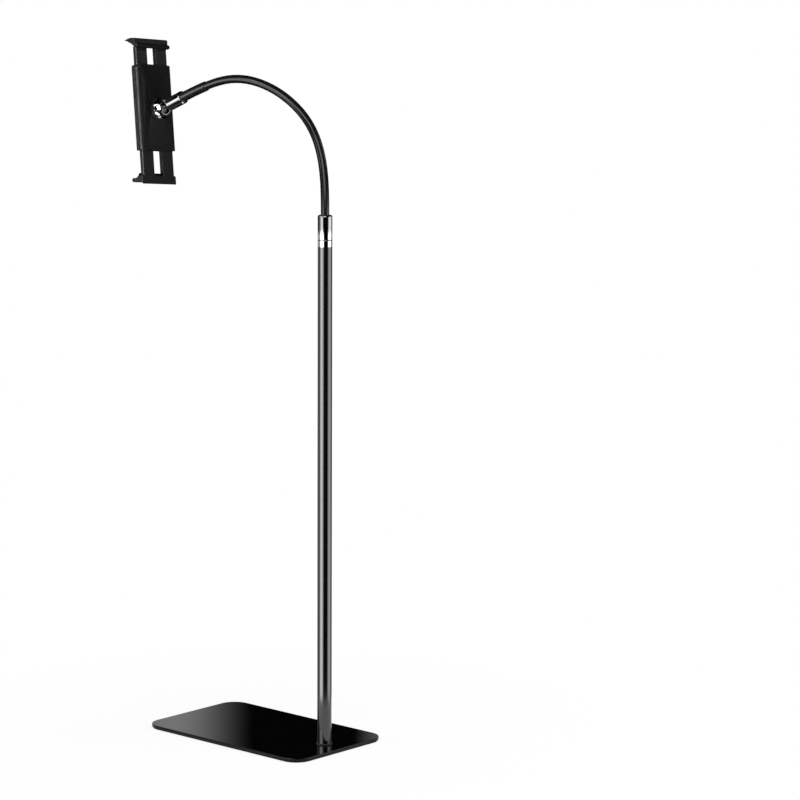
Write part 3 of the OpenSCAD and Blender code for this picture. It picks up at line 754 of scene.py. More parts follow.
class StandPole(bpy.types.Operator):
    """Models the pole's two tubes and the gasket at its foot"""

    bl_idname = "stand.pole"
    bl_label = "Pole and gasket"

    def execute(self, context):
        sizes = context.scene.stand_pole
        radius, length = round_size("pole_lower")
        profile = tube_profile(radius - sizes.wall, radius, length, sizes.edge, sizes.edge)
        lower = turned("lower_tube", profile, sizes.steps)
        upper = copy_of(lower, "upper_tube")
        for tube, node in ((lower, "pole_lower"), (upper, "pole_upper")):
            settle(tube, upright(node), "black_lacquer", "black_tube", node)
        self.gasket(sizes)
        return {"FINISHED"}

    def gasket(self, sizes):
        radius, height = round_size("foot_gasket")
        rim = sizes.gasket_edge
        profile = [(sizes.gasket_hole, 0), (radius, 0)]
        profile += arc((radius - rim, height - rim), rim, 0, 90, 5)
        profile += [(sizes.gasket_hole, height), (sizes.gasket_hole, 0)]
        gasket = turned("gasket", profile, sizes.steps)
        settle(gasket, upright("foot_gasket"), "foot_rubber", "foot_rubber", "foot_gasket")


def neck_links(sizes):
    """Start, heading, bend and length of each link of the neck, from the places of its bends."""
    places = [NECK_START] + [joint_place(f"neck_bend_{k}") for k in range(1, LINKS)]
    heading = 0.0
    links = []
    for start, end in zip(places, places[1:]):
        chord = end - start
        bend = 2 * (math.atan2(-chord.x, chord.z) - heading)
        length = chord.length * (bend / 2) / math.sin(bend / 2)
        links.append((start, heading, bend, length))
        heading += bend
    links.append((places[-1], heading, sizes.tip_turn, sizes.tip_link))
    return links


def along(link, share):
    """Point and heading at a share of a link's length."""
    start, heading, bend, length = link
    now = heading + share * bend
    radius = length / bend
    sweep = Vector((math.cos(now) - math.cos(heading), 0, math.sin(now) - math.sin(heading)))
    return start + radius * sweep, now


def bend_centre(link):
    """Point that a link's bend is turned about."""
    start, heading, bend, length = link
    return start - length / bend * Vector((math.cos(heading), 0, math.sin(heading)))


def way(heading):
    """Direction of the neck at a heading from upright."""
    return Vector((-math.sin(heading), 0, math.cos(heading)))


def place_at(point, heading):
    """Axes at a point of the neck, with Z along it."""
    return Matrix.Translation(point) @ Matrix.Rotation(-heading, 4, "Y")


class StandFerrules(bpy.types.Operator):
    """Models the chrome ring and the two chrome ferrules of the neck"""

    bl_idname = "stand.ferrules"
    bl_label = "Ferrules"

    def execute(self, context):
        sizes = context.scene.stand_ferrules
        neck = context.scene.stand_neck
        steps = context.scene.stand_pole.steps
        self.ring(sizes, steps)
        self.lower(sizes, neck.radius, steps)
        self.upper(sizes, neck, steps)
        return {"FINISHED"}

    def ring(self, sizes, steps):
        radius, height = round_size("ferrule_ring")
        profile = tube_profile(sizes.stud_bore, radius, height, sizes.groove / 4, sizes.groove)
        ring = turned("pole_ring", profile, steps)
        settle(ring, upright("ferrule_ring"), "bright_chrome", "bright_chrome", "ferrule_ring")

    def lower(self, sizes, neck_radius, steps):
        radius, height = round_size("lower_ferrule")
        seat = height - sizes.neck_seat
        profile = [(0, seat), (neck_radius, seat), (neck_radius, height)]
        rim = (radius - sizes.top_round, height - sizes.top_round)
        profile += arc(rim, sizes.top_round, 90, 0, 10)
        profile += [(radius, sizes.groove), (radius - sizes.groove, 0), (sizes.stud_bore, 0)]
        profile += [(sizes.stud_bore, sizes.stud_depth), (0, sizes.stud_depth)]
        ferrule = turned("neck_ferrule", profile, steps)
        settle(ferrule, upright("lower_ferrule"), "bright_chrome", "bright_chrome", "lower_ferrule")

    def upper(self, sizes, neck, steps):
        length = sizes.tip_length
        radius = sizes.tip_radius
        groove = sizes.groove
        shank = length - sizes.shank_length
        profile = [(0, sizes.neck_seat), (neck.radius, sizes.neck_seat), (neck.radius, 0)]
        profile += [(radius - groove, 0), (radius, groove)]
        end = (radius - sizes.tip_round, length - sizes.tip_round)
        profile += arc(end, sizes.tip_round, 0, 90, 14)
        profile += [(sizes.shank_bore, length), (sizes.shank_bore, shank), (0, shank)]
        ferrule = turned("clamp_ferrule", profile, steps)
        place = place_at(*along(neck_links(neck)[-1], 1.0))
        settle(ferrule, place, "bright_chrome", "bright_chrome", "upper_ferrule")


class StandNeck(bpy.types.Operator):
    """Models the bendable neck as lengths of sleeve that bend from link to link"""

    bl_idname = "stand.neck"
    bl_label = "Neck"

    def execute(self, context):
        sizes = context.scene.stand_neck
        seat = context.scene.stand_ferrules.neck_seat
        links = neck_links(sizes)
        self.foot(links, sizes, seat)
        for k in range(1, LINKS):
            if k == KNUCKLE:
                self.half_length(f"neck_length_{k}_near", links[k - 1], 0.5, f"neck_sleeve_{k}", sizes)
                self.half_length(f"neck_length_{k}_far", links[k], 0.0, f"neck_sleeve_{k + 1}", sizes)
                self.knuckle(links[k], f"neck_sleeve_{k + 1}", sizes)
            else:
                self.length_between(links, k, sizes)
        self.head(links, sizes, seat)
        self.end_sleeve(links[-1], sizes)
        return {"FINISHED"}

    def ring(self, name, point, heading, radius, sizes):
        """Adds an open ring across the neck and selects it in edit mode."""
        piece = add(
            name,
            bpy.ops.mesh.primitive_circle_add,
            vertices=sizes.facets,
            radius=radius,
            fill_type="NOTHING",
            location=point,
            rotation=(0, -heading, 0),
        )
        bpy.ops.object.mode_set(mode="EDIT")
        bpy.ops.mesh.select_all(action="SELECT")
        return piece

    def sweep(self, link, share, steps):
        """Carries the selected ring along a link's bend."""
        bpy.ops.mesh.spin(
            steps=steps, angle=share * link[2], center=bend_centre(link), axis=(0, 1, 0)
        )

    def close(self, piece):
        """Closes both ends of a length of sleeve."""
        bpy.ops.mesh.select_all(action="SELECT")
        bpy.ops.mesh.fill_holes(sides=0)
        tidy_mesh()
        smooth(piece, SOFT_CREASE)

    def foot(self, links, sizes, seat):
        point, heading = along(links[0], 0.0)
        piece = self.ring("neck_length_0", point - seat * way(heading), heading, sizes.radius, sizes)
        bpy.ops.mesh.extrude_region_move(TRANSFORM_OT_translate={"value": seat * way(heading)})
        self.sweep(links[0], 0.5, sizes.steps)
        self.close(piece)
        dress(piece, "neck_cover", "neck_cover", "neck_sleeve_1")

    def length_between(self, links, k, sizes):
        start, heading = along(links[k - 1], 0.5)
        end = along(links[k], 0.5)[0]
        piece = self.ring(f"neck_length_{k}", start, heading, sizes.radius, sizes)
        self.sweep(links[k - 1], 0.5, sizes.steps)
        self.sweep(links[k], 0.5, sizes.steps)
        self.close(piece)
        if k == FAR_FIRST:
            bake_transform(piece, f"neck_{k + 1}", f"neck_{k}", start=end, end=start)
        else:
            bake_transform(piece, f"neck_{k}", f"neck_{k + 1}", start=start, end=end)
        dress(piece, "neck_cover", "neck_cover", f"neck_sleeve_{k + 1}")

    def half_length(self, name, link, share, node, sizes):
        """Half a length of sleeve, on one side of a joint."""
        start, heading = along(link, share)
        piece = self.ring(name, start, heading, sizes.radius, sizes)
        self.sweep(link, 0.5, sizes.steps)
        self.close(piece)
        dress(piece, "neck_cover", "neck_cover", node)

    def knuckle(self, link, node, sizes):
        """Ball that fills the bend between two halves."""
        radius = sizes.radius - TINY
        ball = turned("neck_knuckle", arc((0, 0), radius, -90, 90, 24), sizes.facets)
        settle(ball, Matrix.Translation(link[0]), "neck_cover", "neck_cover", node)

    def head(self, links, sizes, seat):
        start, heading = along(links[-1], 0.5)
        piece = self.ring(f"neck_length_{LINKS}", start, heading, sizes.radius, sizes)
        self.sweep(links[-1], 0.5, sizes.steps)
        heading = along(links[-1], 1.0)[1]
        bpy.ops.mesh.extrude_region_move(TRANSFORM_OT_translate={"value": seat * way(heading)})
        self.close(piece)
        dress(piece, "neck_cover", "neck_cover", f"neck_sleeve_{LINKS}")

    def end_sleeve(self, link, sizes):
        share = sizes.sleeve_start / link[3]
        start, heading = along(link, share)
        inner = sizes.radius + FIT
        piece = self.ring("shrunk_sleeve", start, heading, inner + sizes.sleeve_wall, sizes)
        self.sweep(link, 1.0 - share, 2 * sizes.steps)
        tidy_mesh()
        modify(piece, "SOLIDIFY", thickness=sizes.sleeve_wall, offset=-1.0)
        soften(piece, sizes.sleeve_wall / 4, 2, 60.0)
        smooth(piece, SOFT_CREASE)
        dress(piece, "end_cover", "end_cover", "neck_end_sleeve")


SOCKET_WALL = 0.0018  # wall in metres of the socket's threaded boss
THREAD_END = 0.0003  # end of the nut's thread past the ball's centre, in metres


class StandBallJoint(bpy.types.Operator):
    """Models the ball on its stud and the lobed lock nut"""

    bl_idname = "stand.ball_joint"
    bl_label = "Ball and lock nut"

    def execute(self, context):
        sizes = context.scene.stand_nut
        self.ball(sizes, context.scene.stand_ferrules, context.scene.stand_neck)
        self.nut(sizes)
        return {"FINISHED"}

    def ball(self, sizes, ferrules, neck):
        tip, heading = along(neck_links(neck)[-1], 1.0)
        reach = (joint_place("clamp_tilt") - tip).length
        cut = math.degrees(math.acos(sizes.waist / sizes.ball))
        shank_radius = ferrules.shank_bore - FIT
        shank_end = ferrules.tip_length - ferrules.shank_length + FIT
        profile = arc((0, reach), sizes.ball, 90, -cut, 28)
        profile[0] = (0, reach + sizes.ball)
        profile += [(sizes.waist, ferrules.tip_length), (shank_radius, ferrules.tip_length)]
        profile += [(shank_radius, shank_end), (0, shank_end)]
        ball = turned("ball", profile, 64)
        settle(ball, place_at(tip, heading), "dark_ball", "dark_ball", "ball_stud")

    def nut(self, sizes):
        start = SHELL_HIGH.x + sizes.gap
        step = BALL_X + sizes.lip_start
        neck_radius = math.sqrt(sizes.lip_radius**2 + sizes.lip**2 - sizes.lip_start**2)
        room = sizes.thread - SOCKET_WALL
        thread_end = BALL_X + THREAD_END
        nut = turned(
            "lobed_nut",
            [
                (sizes.thread, start),
                (sizes.radius - sizes.bevel, start),
                (sizes.radius, start + sizes.bevel),
                (sizes.radius, BALL_X - 2 * sizes.slope),
                (sizes.radius - sizes.slope, BALL_X - sizes.slope),
                (sizes.cone_root, BALL_X + sizes.cone_start),
                (sizes.face_radius, BALL_X + sizes.face),
                (sizes.mouth_radius, BALL_X + sizes.face),
                (sizes.lip_radius, BALL_X + sizes.lip),
                (neck_radius, step),
                (room, step),
                (room, thread_end),
                (sizes.thread, thread_end),
                (sizes.thread, start),
            ],
            120,
        )
        cutter = add(
            "scallop",
            bpy.ops.mesh.primitive_cylinder_add,
            vertices=40,
            radius=sizes.scallop,
            depth=BALL_X,
            location=(sizes.radius + sizes.scallop - sizes.scallop_depth, 0, BALL_X / 2),
        )
        for i in range(sizes.lobes):
            hollow = copy_of(cutter, f"scallop_{i}")
            put(hollow, Matrix.Rotation(math.tau * i / sizes.lobes, 4, "Z"))
            combine(nut, hollow, "DIFFERENCE")
        bpy.data.objects.remove(cutter)
        soften(nut, sizes.edge, 2, 28.0)
        place = SOCKET @ Matrix.Rotation(math.pi / 2, 4, "Y")
        settle(nut, place, "bright_chrome", "bright_chrome", "lock_nut")


class StandClampBody(bpy.types.Operator):
    """Models the clamp's back shell, its front cover and its front pad"""

    bl_idname = "stand.clamp_body"
    bl_label = "Clamp body"

    def execute(self, context):
        sizes = context.scene.stand_clamp
        jaws = context.scene.stand_jaws
        shell = self.whole(sizes)
        cover = copy_of(shell, "front_cover")
        self.halve(shell, False)
        self.halve(cover, True)
        for half in (shell, cover):
            soften(half, sizes.edge, 2, 50.0)
        self.hollow(shell, sizes, jaws)
        settle(shell, CLAMP, "clamp_black", "clamp_black", "clamp_back_shell")
        settle(cover, CLAMP, "clamp_black", "clamp_black", "clamp_front_cover")
        self.pad(sizes)
        return {"FINISHED"}

    def whole(self, sizes):
        """The body in one piece, rounded along its height and at its corners."""
        front = box_from("clamp_front_cover", CLAMP)[0].x
        low = Vector((front, SHELL_LOW.y, SHELL_LOW.z))
        high = SHELL_HIGH
        past = Vector((0, 0, PAST))
        body = block("back_shell", low - past, high + past)
        for x, radius, segments in ((high.x, sizes.back_round, 12), (low.x, sizes.front_round, 5)):
            round_edges(body, lambda edge: runs_along(edge, 2) and lies_at(edge, 0, x), radius, segments)
        aside = Vector((PAST, 0, 0))
        face = block("face", low - aside, high + aside)
        for z, radius, segments in ((high.z, sizes.top_corner, 6), (low.z, sizes.foot_corner, 4)):
            round_edges(face, lambda edge: runs_along(edge, 0) and lies_at(edge, 2, z), radius, segments)
        combine(body, face, "INTERSECT")
        return body

    def halve(self, piece, front):
        """Cuts the body at the seam and keeps its front or its back."""
        pick(piece, "VERT", lambda vertex: True)
        bpy.ops.mesh.bisect(
            plane_co=(SHELL_LOW.x, 0, 0),
            plane_no=(1, 0, 0),
            use_fill=True,
            clear_inner=not front,
            clear_outer=front,
        )
        tidy_mesh()

    def hollow(self, shell, sizes, jaws):
        """Cuts the rails' channel and the socket's hole, and sets the webs between the rails."""
        wall = SHELL_HIGH.y - sizes.side
        inside = SHELL_HIGH.x - sizes.back
        channel = block(
            "channel",
            (SHELL_LOW.x - PAST, -wall, SHELL_LOW.z - PAST),
            (inside, wall, SHELL_HIGH.z + PAST),
        )
        combine(shell, channel, "DIFFERENCE")
        lane = jaws.rail_gap / 2 - jaws.slide
        for low in (SHELL_LOW.z + sizes.edge, SHELL_HIGH.z - sizes.edge - sizes.web):
            web = block(
                "web", (SHELL_LOW.x + sizes.edge, -lane, low), (inside + sizes.edge, lane, low + sizes.web)
            )
            combine(shell, web, "UNION")
        middle = (SHELL_HIGH.x, 0, BALL.z)
        drill(shell, sizes.socket, 4 * sizes.back, middle, rotation=(0, math.pi / 2, 0))

    def pad(self, sizes):
        low, high = box_from("front_pad", CLAMP)
        pad = block("tablet_pad", low, high)
        round_edges(pad, lambda edge: runs_along(edge, 0), sizes.pad_corner, 10)
        round_edges(pad, lambda edge: lies_at(edge, 0, low.x), sizes.pad_edge, 3)
        settle(pad, CLAMP, "pad_foam", "pad_foam", "front_pad")


# Places on the jaws' heads, in metres
HEAD_STEP = 0.0005  # upper head's back behind the rails
BEAD_REACH = 0.0013  # bead's centre behind the upper head's back
TIP_DROP = 0.0029  # upper hollow's end under the head's top
CLAW_DROP = 0.0019  # upper claw's front edge under the head's top
SHOULDER = 0.003  # front edge of the upper head's top before the rails
TOP_BEVEL = 0.001  # bevel on the back edge of the upper head's top
LOWER_STEP = 0.0002  # lower head's back inside the rails' backs
HEEL = 0.0012  # heel before the lower head's back
LOWER_BEVEL = 0.0015  # bevel on the top edge of the lower head's back

# Hollows of the claws
UPPER_ROUND = 1.8  # radius of the upper hollow, in widths of it
LOWER_ROUND = 0.87  # radius of the lower hollow, in widths of it
NOSE_LIP = (0.6, 0.75)  # lower hollow's end before and above the nose's centre, in radii of the nose


class StandJaws(bpy.types.Operator):
    """Models the two sliding jaws, each with its rails and its rubber lining"""

    bl_idname = "stand.jaws"
    bl_label = "Jaws and linings"

    def execute(self, context):
        sizes = context.scene.stand_jaws
        self.upper(sizes)
        self.lower(sizes)
        return {"FINISHED"}

    def rails(self, head, low_z, high_z, sizes):
        """Joins two rounded rails to a jaw's head."""
        front = SHELL_LOW.x + sizes.slide
        near = sizes.rail_gap / 2
        for side in (1, -1):
            low_y, high_y = sorted((side * near, side * (near + sizes.rail_width)))
            rail = block("rail", (front, low_y, low_z), (front + sizes.rail, high_y, high_z))
            round_edges(rail, lambda edge: runs_along(edge, 2), sizes.rail_round, 5)
            soften(rail, sizes.lining_edge, 2, 60.0)
            combine(head, rail, "UNION")

    def ends(self, head, sizes):
        """Rounds the outline of a head at both of its ends."""
        half = max(vertex.co.y for vertex in head.data.vertices)
        round_edges(
            head, lambda edge: lies_at(edge, 1, half) or lies_at(edge, 1, -half), sizes.end, 3
        )

    def upper(self, sizes):
        low, high = box_from("upper_jaw", CLAMP)
        front = SHELL_LOW.x + sizes.slide
        back = front + sizes.rail
        top = high.z
        claw = low.x
        foot = top - sizes.upper_head
        bead = sizes.bead
        head_back = back + HEAD_STEP
        bead_centre = (head_back + BEAD_REACH, foot + bead)
        tip = (claw, top - TIP_DROP)
        root = (back - HEAD_STEP, foot)
        radius = UPPER_ROUND * math.dist(tip, root)
        centre = hollow_centre(tip, root, radius)
        groove = (head_back - HEAD_STEP, foot + 2 * bead)
        outline = [tip, (claw, top - CLAW_DROP), (front - SHOULDER, top)]
        outline += [(head_back - TOP_BEVEL, top - TOP_BEVEL), (head_back, top - 2 * TOP_BEVEL)]
        outline += [(head_back, groove[1] + HEAD_STEP), groove]
        outline += arc(bead_centre, bead, bearing(bead_centre, groove), -90, 18)
        outline += arc(centre, radius, bearing(centre, root), bearing(centre, tip), 18)
        head = drawn("top_jaw", outline, high.y - low.y)
        self.ends(head, sizes)
        self.flares(head, foot, back, bead_centre, sizes)
        self.rails(head, low.z, foot + sizes.root, sizes)
        settle(head, CLAMP, "jaw_black", "jaw_black", "upper_jaw")
        self.lining("top_lining", centre, radius, 1, sizes, "upper_jaw_lining")

    def flares(self, head, foot, back, bead_centre, sizes):
        """Joins the slopes between the bead and the backs of the rails."""
        inner = back - sizes.rail / 2
        width = sizes.rail_width - 2 * sizes.rail_round
        middle = (sizes.rail_gap + sizes.rail_width) / 2
        low = foot - sizes.flare
        high = foot + sizes.bead / 2
        outline = [(inner, low), (back, low), (bead_centre[0], high), (inner, high), (inner, low)]
        for side in (1, -1):
            flare = drawn("flare", outline, width)
            put(flare, Matrix.Translation((0, side * middle, 0)))
            combine(head, flare, "UNION")

    def lower(self, sizes):
        low, high = box_from("lower_jaw", CLAMP)
        front = SHELL_LOW.x + sizes.slide
        back = front + sizes.rail - LOWER_STEP
        foot = low.z
        nose = sizes.nose
        nose_centre = (low.x + nose, foot + sizes.nose_height)
        heel = back - HEEL
        bevel = LOWER_BEVEL
        top = foot + sizes.lower_head
        root = (front, top + sizes.gusset)
        tip = (nose_centre[0] + NOSE_LIP[0] * nose, nose_centre[1] + NOSE_LIP[1] * nose)
        radius = LOWER_ROUND * math.dist(root, tip)
        centre = hollow_centre(root, tip, radius)
        outline = [(nose_centre[0], nose_centre[1] - nose), (heel, foot + sizes.shelf), (heel, foot)]
        outline += [(back - bevel / 2, foot), (back, foot + bevel / 2), (back, top - bevel)]
        outline += [(back - bevel, top), (front, top)]
        outline += arc(centre, radius, bearing(centre, root), bearing(centre, tip), 16)[:-1]
        outline += arc(nose_centre, nose, bearing(nose_centre, tip), 270, 20)
        head = drawn("bottom_jaw", outline, high.y - low.y)
        self.ends(head, sizes)
        self.rails(head, top - sizes.root, high.z, sizes)
        settle(head, CLAMP, "jaw_black", "jaw_black", "lower_jaw")
        self.lining("bottom_lining", centre, radius, -1, sizes, "lower_jaw_lining")

    def lining(self, name, centre, radius, side, sizes, node):
        """Models a rubber strip that follows the hollow of a claw, above or below the hollow's centre."""
        low, high = box_from(node, CLAMP)
        outer = radius - FIT
        inner = outer - sizes.lining

        def at(reach, x):
            return side * math.degrees(math.acos((x - centre[0]) / reach))

        outline = arc(centre, outer, at(outer, low.x), at(outer, high.x), 14)
        outline += arc(centre, inner, at(inner, high.x), at(inner, low.x), 14)
        outline += outline[:1]
        strip = drawn(name, outline, high.y - low.y)
        soften(strip, sizes.lining_edge, 2, 50.0)
        settle(strip, CLAMP, "grip_rubber", "grip_rubber", node)


class StandInnerPieces(bpy.types.Operator):
    """Gives the pieces inside the stand their finishes"""

    bl_idname = "stand.inner_pieces"
    bl_label = "Inner pieces"

    def execute(self, context):
        looks = {
            "inner_steel": ("base_screw", "foot_plug", "pole_coupler", "pole_top_plug", "cover_screws"),
            "neck_core": [f"neck_core_{k}" for k in range(1, LINKS + 1)],
            "spring_steel": ("brake_rings",),
            "ball_seat": ("inner_ball_seat", "outer_ball_seat"),
            "clamp_black": ("ball_socket",),
        }
        for look, nodes in looks.items():
            material = finish(look)
            for node in nodes:
                NODES[node].data.materials.clear()
                NODES[node].data.materials.append(material)
        return {"FINISHED"}


# Panels of the light tent: angle from the camera to its right, half width and soft edge in degrees, lower and
# upper height in metres, brightness
POLE_PANELS = (
    (-50.0, 3.0, 38.0, -0.1, 0.755, 6.2),
    (-80.0, 14.0, 14.0, -0.1, 0.755, 0.4),
    (77.0, 8.0, 30.0, -0.1, 0.755, 3.2),
    (110.0, 14.0, 10.0, -0.1, 0.755, 0.5),
    (-128.0, 2.0, 28.0, -0.1, 0.755, 0.75),
    (156.0, 8.0, 9.0, -0.1, 0.755, 0.35),
)
FERRULE_PANELS = (
    (-52.0, 8.0, 22.0, 0.758, 0.805, 1.2),
    (-92.0, 15.0, 15.0, 0.758, 0.805, 0.15),
    (80.0, 11.0, 24.0, 0.758, 0.805, 1.25),
    (112.0, 14.0, 10.0, 0.758, 0.805, 0.45),
)
NECK_PANELS = (
    (1.0, 16.0, 12.0, 0.82, 1.25, 1.4),
    (-10.0, 14.0, 10.0, 1.25, 1.48, 1.8),
    (-32.0, 15.0, 10.0, 1.5, 1.84, 2.2),
    (-62.0, 13.0, 10.0, 1.5, 1.8, 2.0),
    (-84.0, 9.0, 8.0, 1.12, 1.5, 1.8),
    (-95.0, 5.0, 5.0, 0.87, 1.1, 1.2),
)
CLAMP_PANELS = (
    (116.0, 20.0, 10.0, 1.0, 1.35, 0.5),
    (-66.0, 4.0, 4.0, 0.87, 0.97, 2.0),
)
# Lamps: angle from the camera to its right in degrees, distance, height, width and length in metres, power
LAMPS = {
    "left_strip": (-64.0, 2.6, 0.9, 0.5, 2.4, 30.0),
    "right_strip": (76.0, 2.6, 1.6, 0.9, 1.6, 44.0),
    "top_light": (20.0, 1.2, 3.4, 1.6, 1.6, 40.0),
}
LAMP_AIM = 0.9  # greatest height in metres of the point that a lamp is turned to
# Soft boxes: place, point that it is turned to, beam in degrees, width and height in metres, power
SOFT_BOXES = {
    "clamp_box": ((-0.29, -0.475, 0.875), (-0.2734, 0, 0.875), 50.0, 0.24, 0.62, 1.3),
    "ferrule_box": ((-0.3345, -0.18, 0.885), (-0.19, 0, 0.955), 44.0, 0.18, 0.22, 0.012),
}
SENSOR = 36.0  # width and height of the camera's sensor in millimetres
WHITE = (1, 1, 1, 1)
PAPER = {"Base Color": (0.92, 0.92, 0.92, 1), "Roughness": 0.9, "Specular IOR Level": 0.0}
# The floor's own white near the stand and away from it, and the distances in metres between which it changes
FLOOR_WHITE = {"From Min": 0.2, "From Max": 0.6, "To Min": 0.86, "To Max": 1.0}
DAYLIGHT = 0.4  # strength of the world's light on the stand
BACKDROP = 1.0  # strength of the world behind the stand


class StandStage(bpy.types.Operator):
    """Sets the floor, the light tent, the lamps, the world and the camera"""

    bl_idname = "stand.stage"
    bl_label = "Stage"

    def execute(self, context):
        sizes = context.scene.stand_stage
        context.scene.view_settings.view_transform = "Standard"
        self.floor(sizes)
        self.tent(sizes)
        self.world(context.scene)
        for name, lamp in LAMPS.items():
            self.strip(name, *lamp, sizes)
        for name, box in SOFT_BOXES.items():
            self.soft_box(name, *box)
        self.camera(context.scene, sizes)
        return {"FINISHED"}

    def backdrop_rays(self, tree):
        """A switch that is on for camera, glossy and transmission rays."""
        rays = shader_node(tree, "ShaderNodeLightPath", {}).outputs
        first = maths(tree, "MAXIMUM", rays["Is Camera Ray"], rays["Is Glossy Ray"])
        return maths(tree, "MAXIMUM", first, rays["Is Transmission Ray"])

    def mix(self, tree, share, first, second, output):
        """Shows a first shader and, by a share, a second one."""
        inputs = {"Fac": share, 1: first.outputs[0], 2: second.outputs[0]}
        both = shader_node(tree, "ShaderNodeMixShader", inputs)
        tree.links.new(both.outputs[0], tree.nodes[output].inputs["Surface"])

    def floor(self, sizes):
        floor = add("floor", bpy.ops.mesh.primitive_plane_add, size=sizes.floor, location=(0, 0, 0))
        material = bpy.data.materials.new("pale_floor")
        material.use_nodes = True
        tree = material.node_tree
        paper = tree.nodes["Principled BSDF"]
        for socket, value in PAPER.items():
            paper.inputs[socket].default_value = value
        place = shader_node(tree, "ShaderNodeTexCoord", {}).outputs["Object"]
        away = shader_node(tree, "ShaderNodeVectorMath", {0: place}, operation="LENGTH").outputs["Value"]
        near = shader_node(tree, "ShaderNodeMapRange", {"Value": away, **FLOOR_WHITE}).outputs["Result"]
        share = maths(tree, "MULTIPLY", near, self.backdrop_rays(tree))
        self.mix(tree, share, paper, shader_node(tree, "ShaderNodeEmission", {}), "Material Output")
        floor.data.materials.append(material)

    def step(self, tree, value, start, end):
        """Rises softly from 0 at the start to 1 at the end."""
        inputs = {"Value": value, "From Min": start, "From Max": end}
        rise = shader_node(tree, "ShaderNodeMapRange", inputs, interpolation_type="SMOOTHSTEP")
        return rise.outputs["Result"]

    def panel_glow(self, tree, angle, height, panel, edge):
        """Glow of one panel of the tent, soft at its edges."""
        middle, half, soft, low, high, strength = panel
        off = maths(tree, "SUBTRACT", angle, math.radians(middle))
        off = maths(tree, "WRAP", off, math.pi, -math.pi)
        off = maths(tree, "ABSOLUTE", off)
        glow = self.step(tree, off, math.radians(half + soft), math.radians(half))
        glow = maths(tree, "MULTIPLY", glow, self.step(tree, height, low - edge, low))
        glow = maths(tree, "MULTIPLY", glow, self.step(tree, height, high + edge, high))
        return maths(tree, "MULTIPLY", glow, strength)

    def tent(self, sizes):
        """A dark tent with soft panels round the stand, which only reflections show."""
        tent = turned(
            "tent",
            [
                (sizes.tent_foot, 0),
                (sizes.tent_foot, sizes.tent_step),
                (sizes.tent, sizes.tent_step),
                (sizes.tent, sizes.tent_height),
                (0, sizes.tent_height),
            ],
            128,
        )
        put(tent, Matrix.Translation((POLE_X, 0, 0)))
        tent.visible_camera = False
        tent.visible_diffuse = False
        tent.visible_transmission = False
        tent.visible_shadow = False
        material = bpy.data.materials.new("tent")
        material.use_nodes = True
        tree = material.node_tree
        tree.nodes.remove(tree.nodes["Principled BSDF"])
        inputs = {
            "Vector": shader_node(tree, "ShaderNodeTexCoord", {}).outputs["Object"],
            "Location": (POLE_X, 0, 0),
            "Rotation": (0, 0, sizes.azimuth - math.pi / 2),
        }
        place = shader_node(tree, "ShaderNodeMapping", inputs, vector_type="TEXTURE").outputs["Vector"]
        x, y, z = shader_node(tree, "ShaderNodeSeparateXYZ", {0: place}).outputs
        angle = maths(tree, "ARCTAN2", y, x)
        whole = 0.0
        for panel in POLE_PANELS + FERRULE_PANELS + NECK_PANELS + CLAMP_PANELS:
            whole = maths(tree, "ADD", whole, self.panel_glow(tree, angle, z, panel, sizes.tent_edge))
        shine = shader_node(tree, "ShaderNodeEmission", {"Strength": whole})
        tree.links.new(shine.outputs[0], tree.nodes["Material Output"].inputs["Surface"])
        tent.data.materials.append(material)

    def world(self, scene):
        world = bpy.data.worlds.new("studio")
        world.use_nodes = True
        tree = world.node_tree
        soft = tree.nodes["Background"]
        soft.inputs["Color"].default_value = WHITE
        soft.inputs["Strength"].default_value = DAYLIGHT
        white = shader_node(tree, "ShaderNodeBackground", {"Color": WHITE, "Strength": BACKDROP})
        self.mix(tree, self.backdrop_rays(tree), soft, white, "World Output")
        scene.world = world

    def lamp(self, name, place, aim, width, height, power):
        """Adds an area lamp that is turned to a point."""
        data = bpy.data.lights.new(name, "AREA")
        data.shape = "RECTANGLE"
        data.size = width
        data.size_y = height
        data.energy = power
        lamp = bpy.data.objects.new(name, data)
        bpy.context.scene.collection.objects.link(lamp)
        lamp.location = place
        lamp.rotation_euler = (place - aim).to_track_quat("Z", "Y").to_euler()
        return lamp

    def strip(self, name, degrees, away, height, width, length, power, sizes):
        """Adds a lamp at an angle from the camera, turned to the stand, which reflections don't show."""
        angle = sizes.azimuth + math.radians(degrees)
        place = Vector((math.sin(angle) * away, -math.cos(angle) * away, height))
        aim = Vector((0, 0, min(height, LAMP_AIM)))
        self.lamp(name, place, aim, width, length, power).visible_glossy = False

    def soft_box(self, name, place, aim, spread, width, height, power):
        """Adds a soft box whose narrow beam meets one piece and passes the neck by."""
        box = self.lamp(name, Vector(place), Vector(aim), width, height, power)
        box.data.spread = math.radians(spread)
        box.visible_camera = False

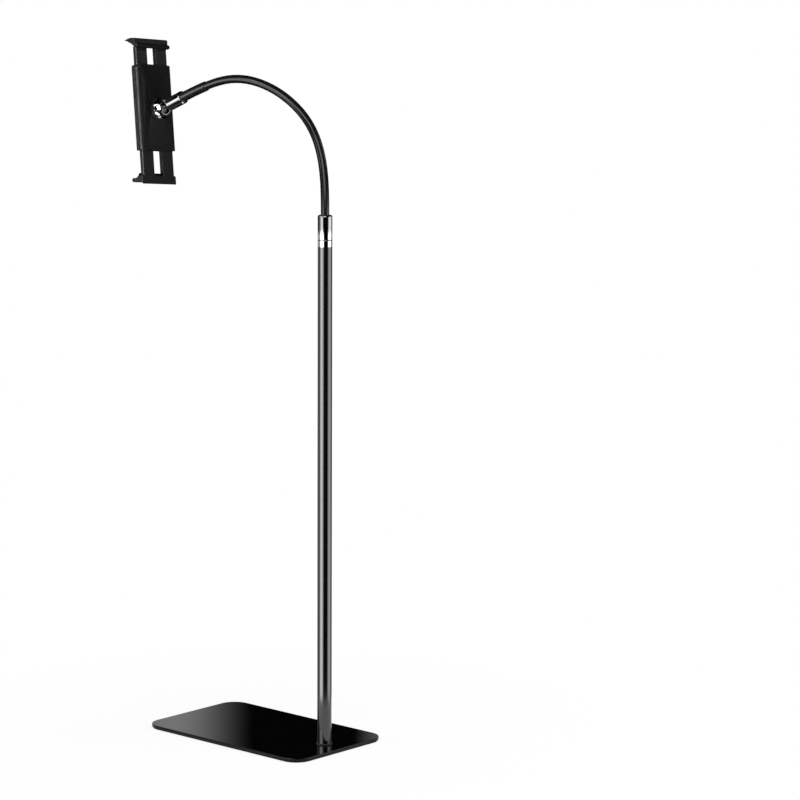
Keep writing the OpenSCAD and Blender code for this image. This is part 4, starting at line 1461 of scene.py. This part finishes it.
    def camera(self, scene, sizes):
        back = Vector(
            (
                math.sin(sizes.azimuth) * math.cos(sizes.elevation),
                -math.cos(sizes.azimuth) * math.cos(sizes.elevation),
                math.sin(sizes.elevation),
            )
        )
        right = Vector((math.cos(sizes.azimuth), math.sin(sizes.azimuth), 0))
        up = back.cross(right)
        level = Matrix((right, up, back)).transposed().to_4x4()
        place = Matrix.Translation(Vector(sizes.look_at) + sizes.distance * back)
        data = bpy.data.cameras.new("camera")
        data.lens = sizes.lens
        data.sensor_width = SENSOR
        data.sensor_height = SENSOR
        camera = bpy.data.objects.new("camera", data)
        scene.collection.objects.link(camera)
        camera.matrix_world = place @ level @ Matrix.Rotation(sizes.roll, 4, "Z")
        scene.camera = camera


OPERATORS = (
    StandStage,
    StandBase,
    StandPole,
    StandFerrules,
    StandNeck,
    StandBallJoint,
    StandClampBody,
    StandJaws,
    StandInnerPieces,
)


class StandPanel(bpy.types.Panel):
    """Lists the pieces of the stand and their sizes"""

    bl_idname = "STAND_PT_pieces"
    bl_label = "Tablet floor stand"
    bl_space_type = "VIEW_3D"
    bl_region_type = "UI"
    bl_category = "Stand"

    def draw(self, context):
        for operator in OPERATORS:
            self.layout.operator(operator.bl_idname)
        for name, group in GROUPS.items():
            box = self.layout.box()
            for key in group.__annotations__:
                box.prop(getattr(context.scene, name), key)


def register():
    for group in GROUPS.values():
        bpy.utils.register_class(group)
    for operator in OPERATORS:
        bpy.utils.register_class(operator)
    bpy.utils.register_class(StandPanel)
    for name, group in GROUPS.items():
        setattr(bpy.types.Scene, name, PointerProperty(type=group))


def unregister():
    for name in GROUPS:
        delattr(bpy.types.Scene, name)
    bpy.utils.unregister_class(StandPanel)
    for operator in reversed(OPERATORS):
        bpy.utils.unregister_class(operator)
    for group in GROUPS.values():
        bpy.utils.unregister_class(group)


def main():
    register()
    bpy.ops.stand.stage()
    bpy.ops.stand.base()
    bpy.ops.stand.pole()
    bpy.ops.stand.ferrules()
    bpy.ops.stand.neck()
    bpy.ops.stand.ball_joint()
    bpy.ops.stand.clamp_body()
    bpy.ops.stand.jaws()
    bpy.ops.stand.inner_pieces()


if __name__ == "__main__":
    main()
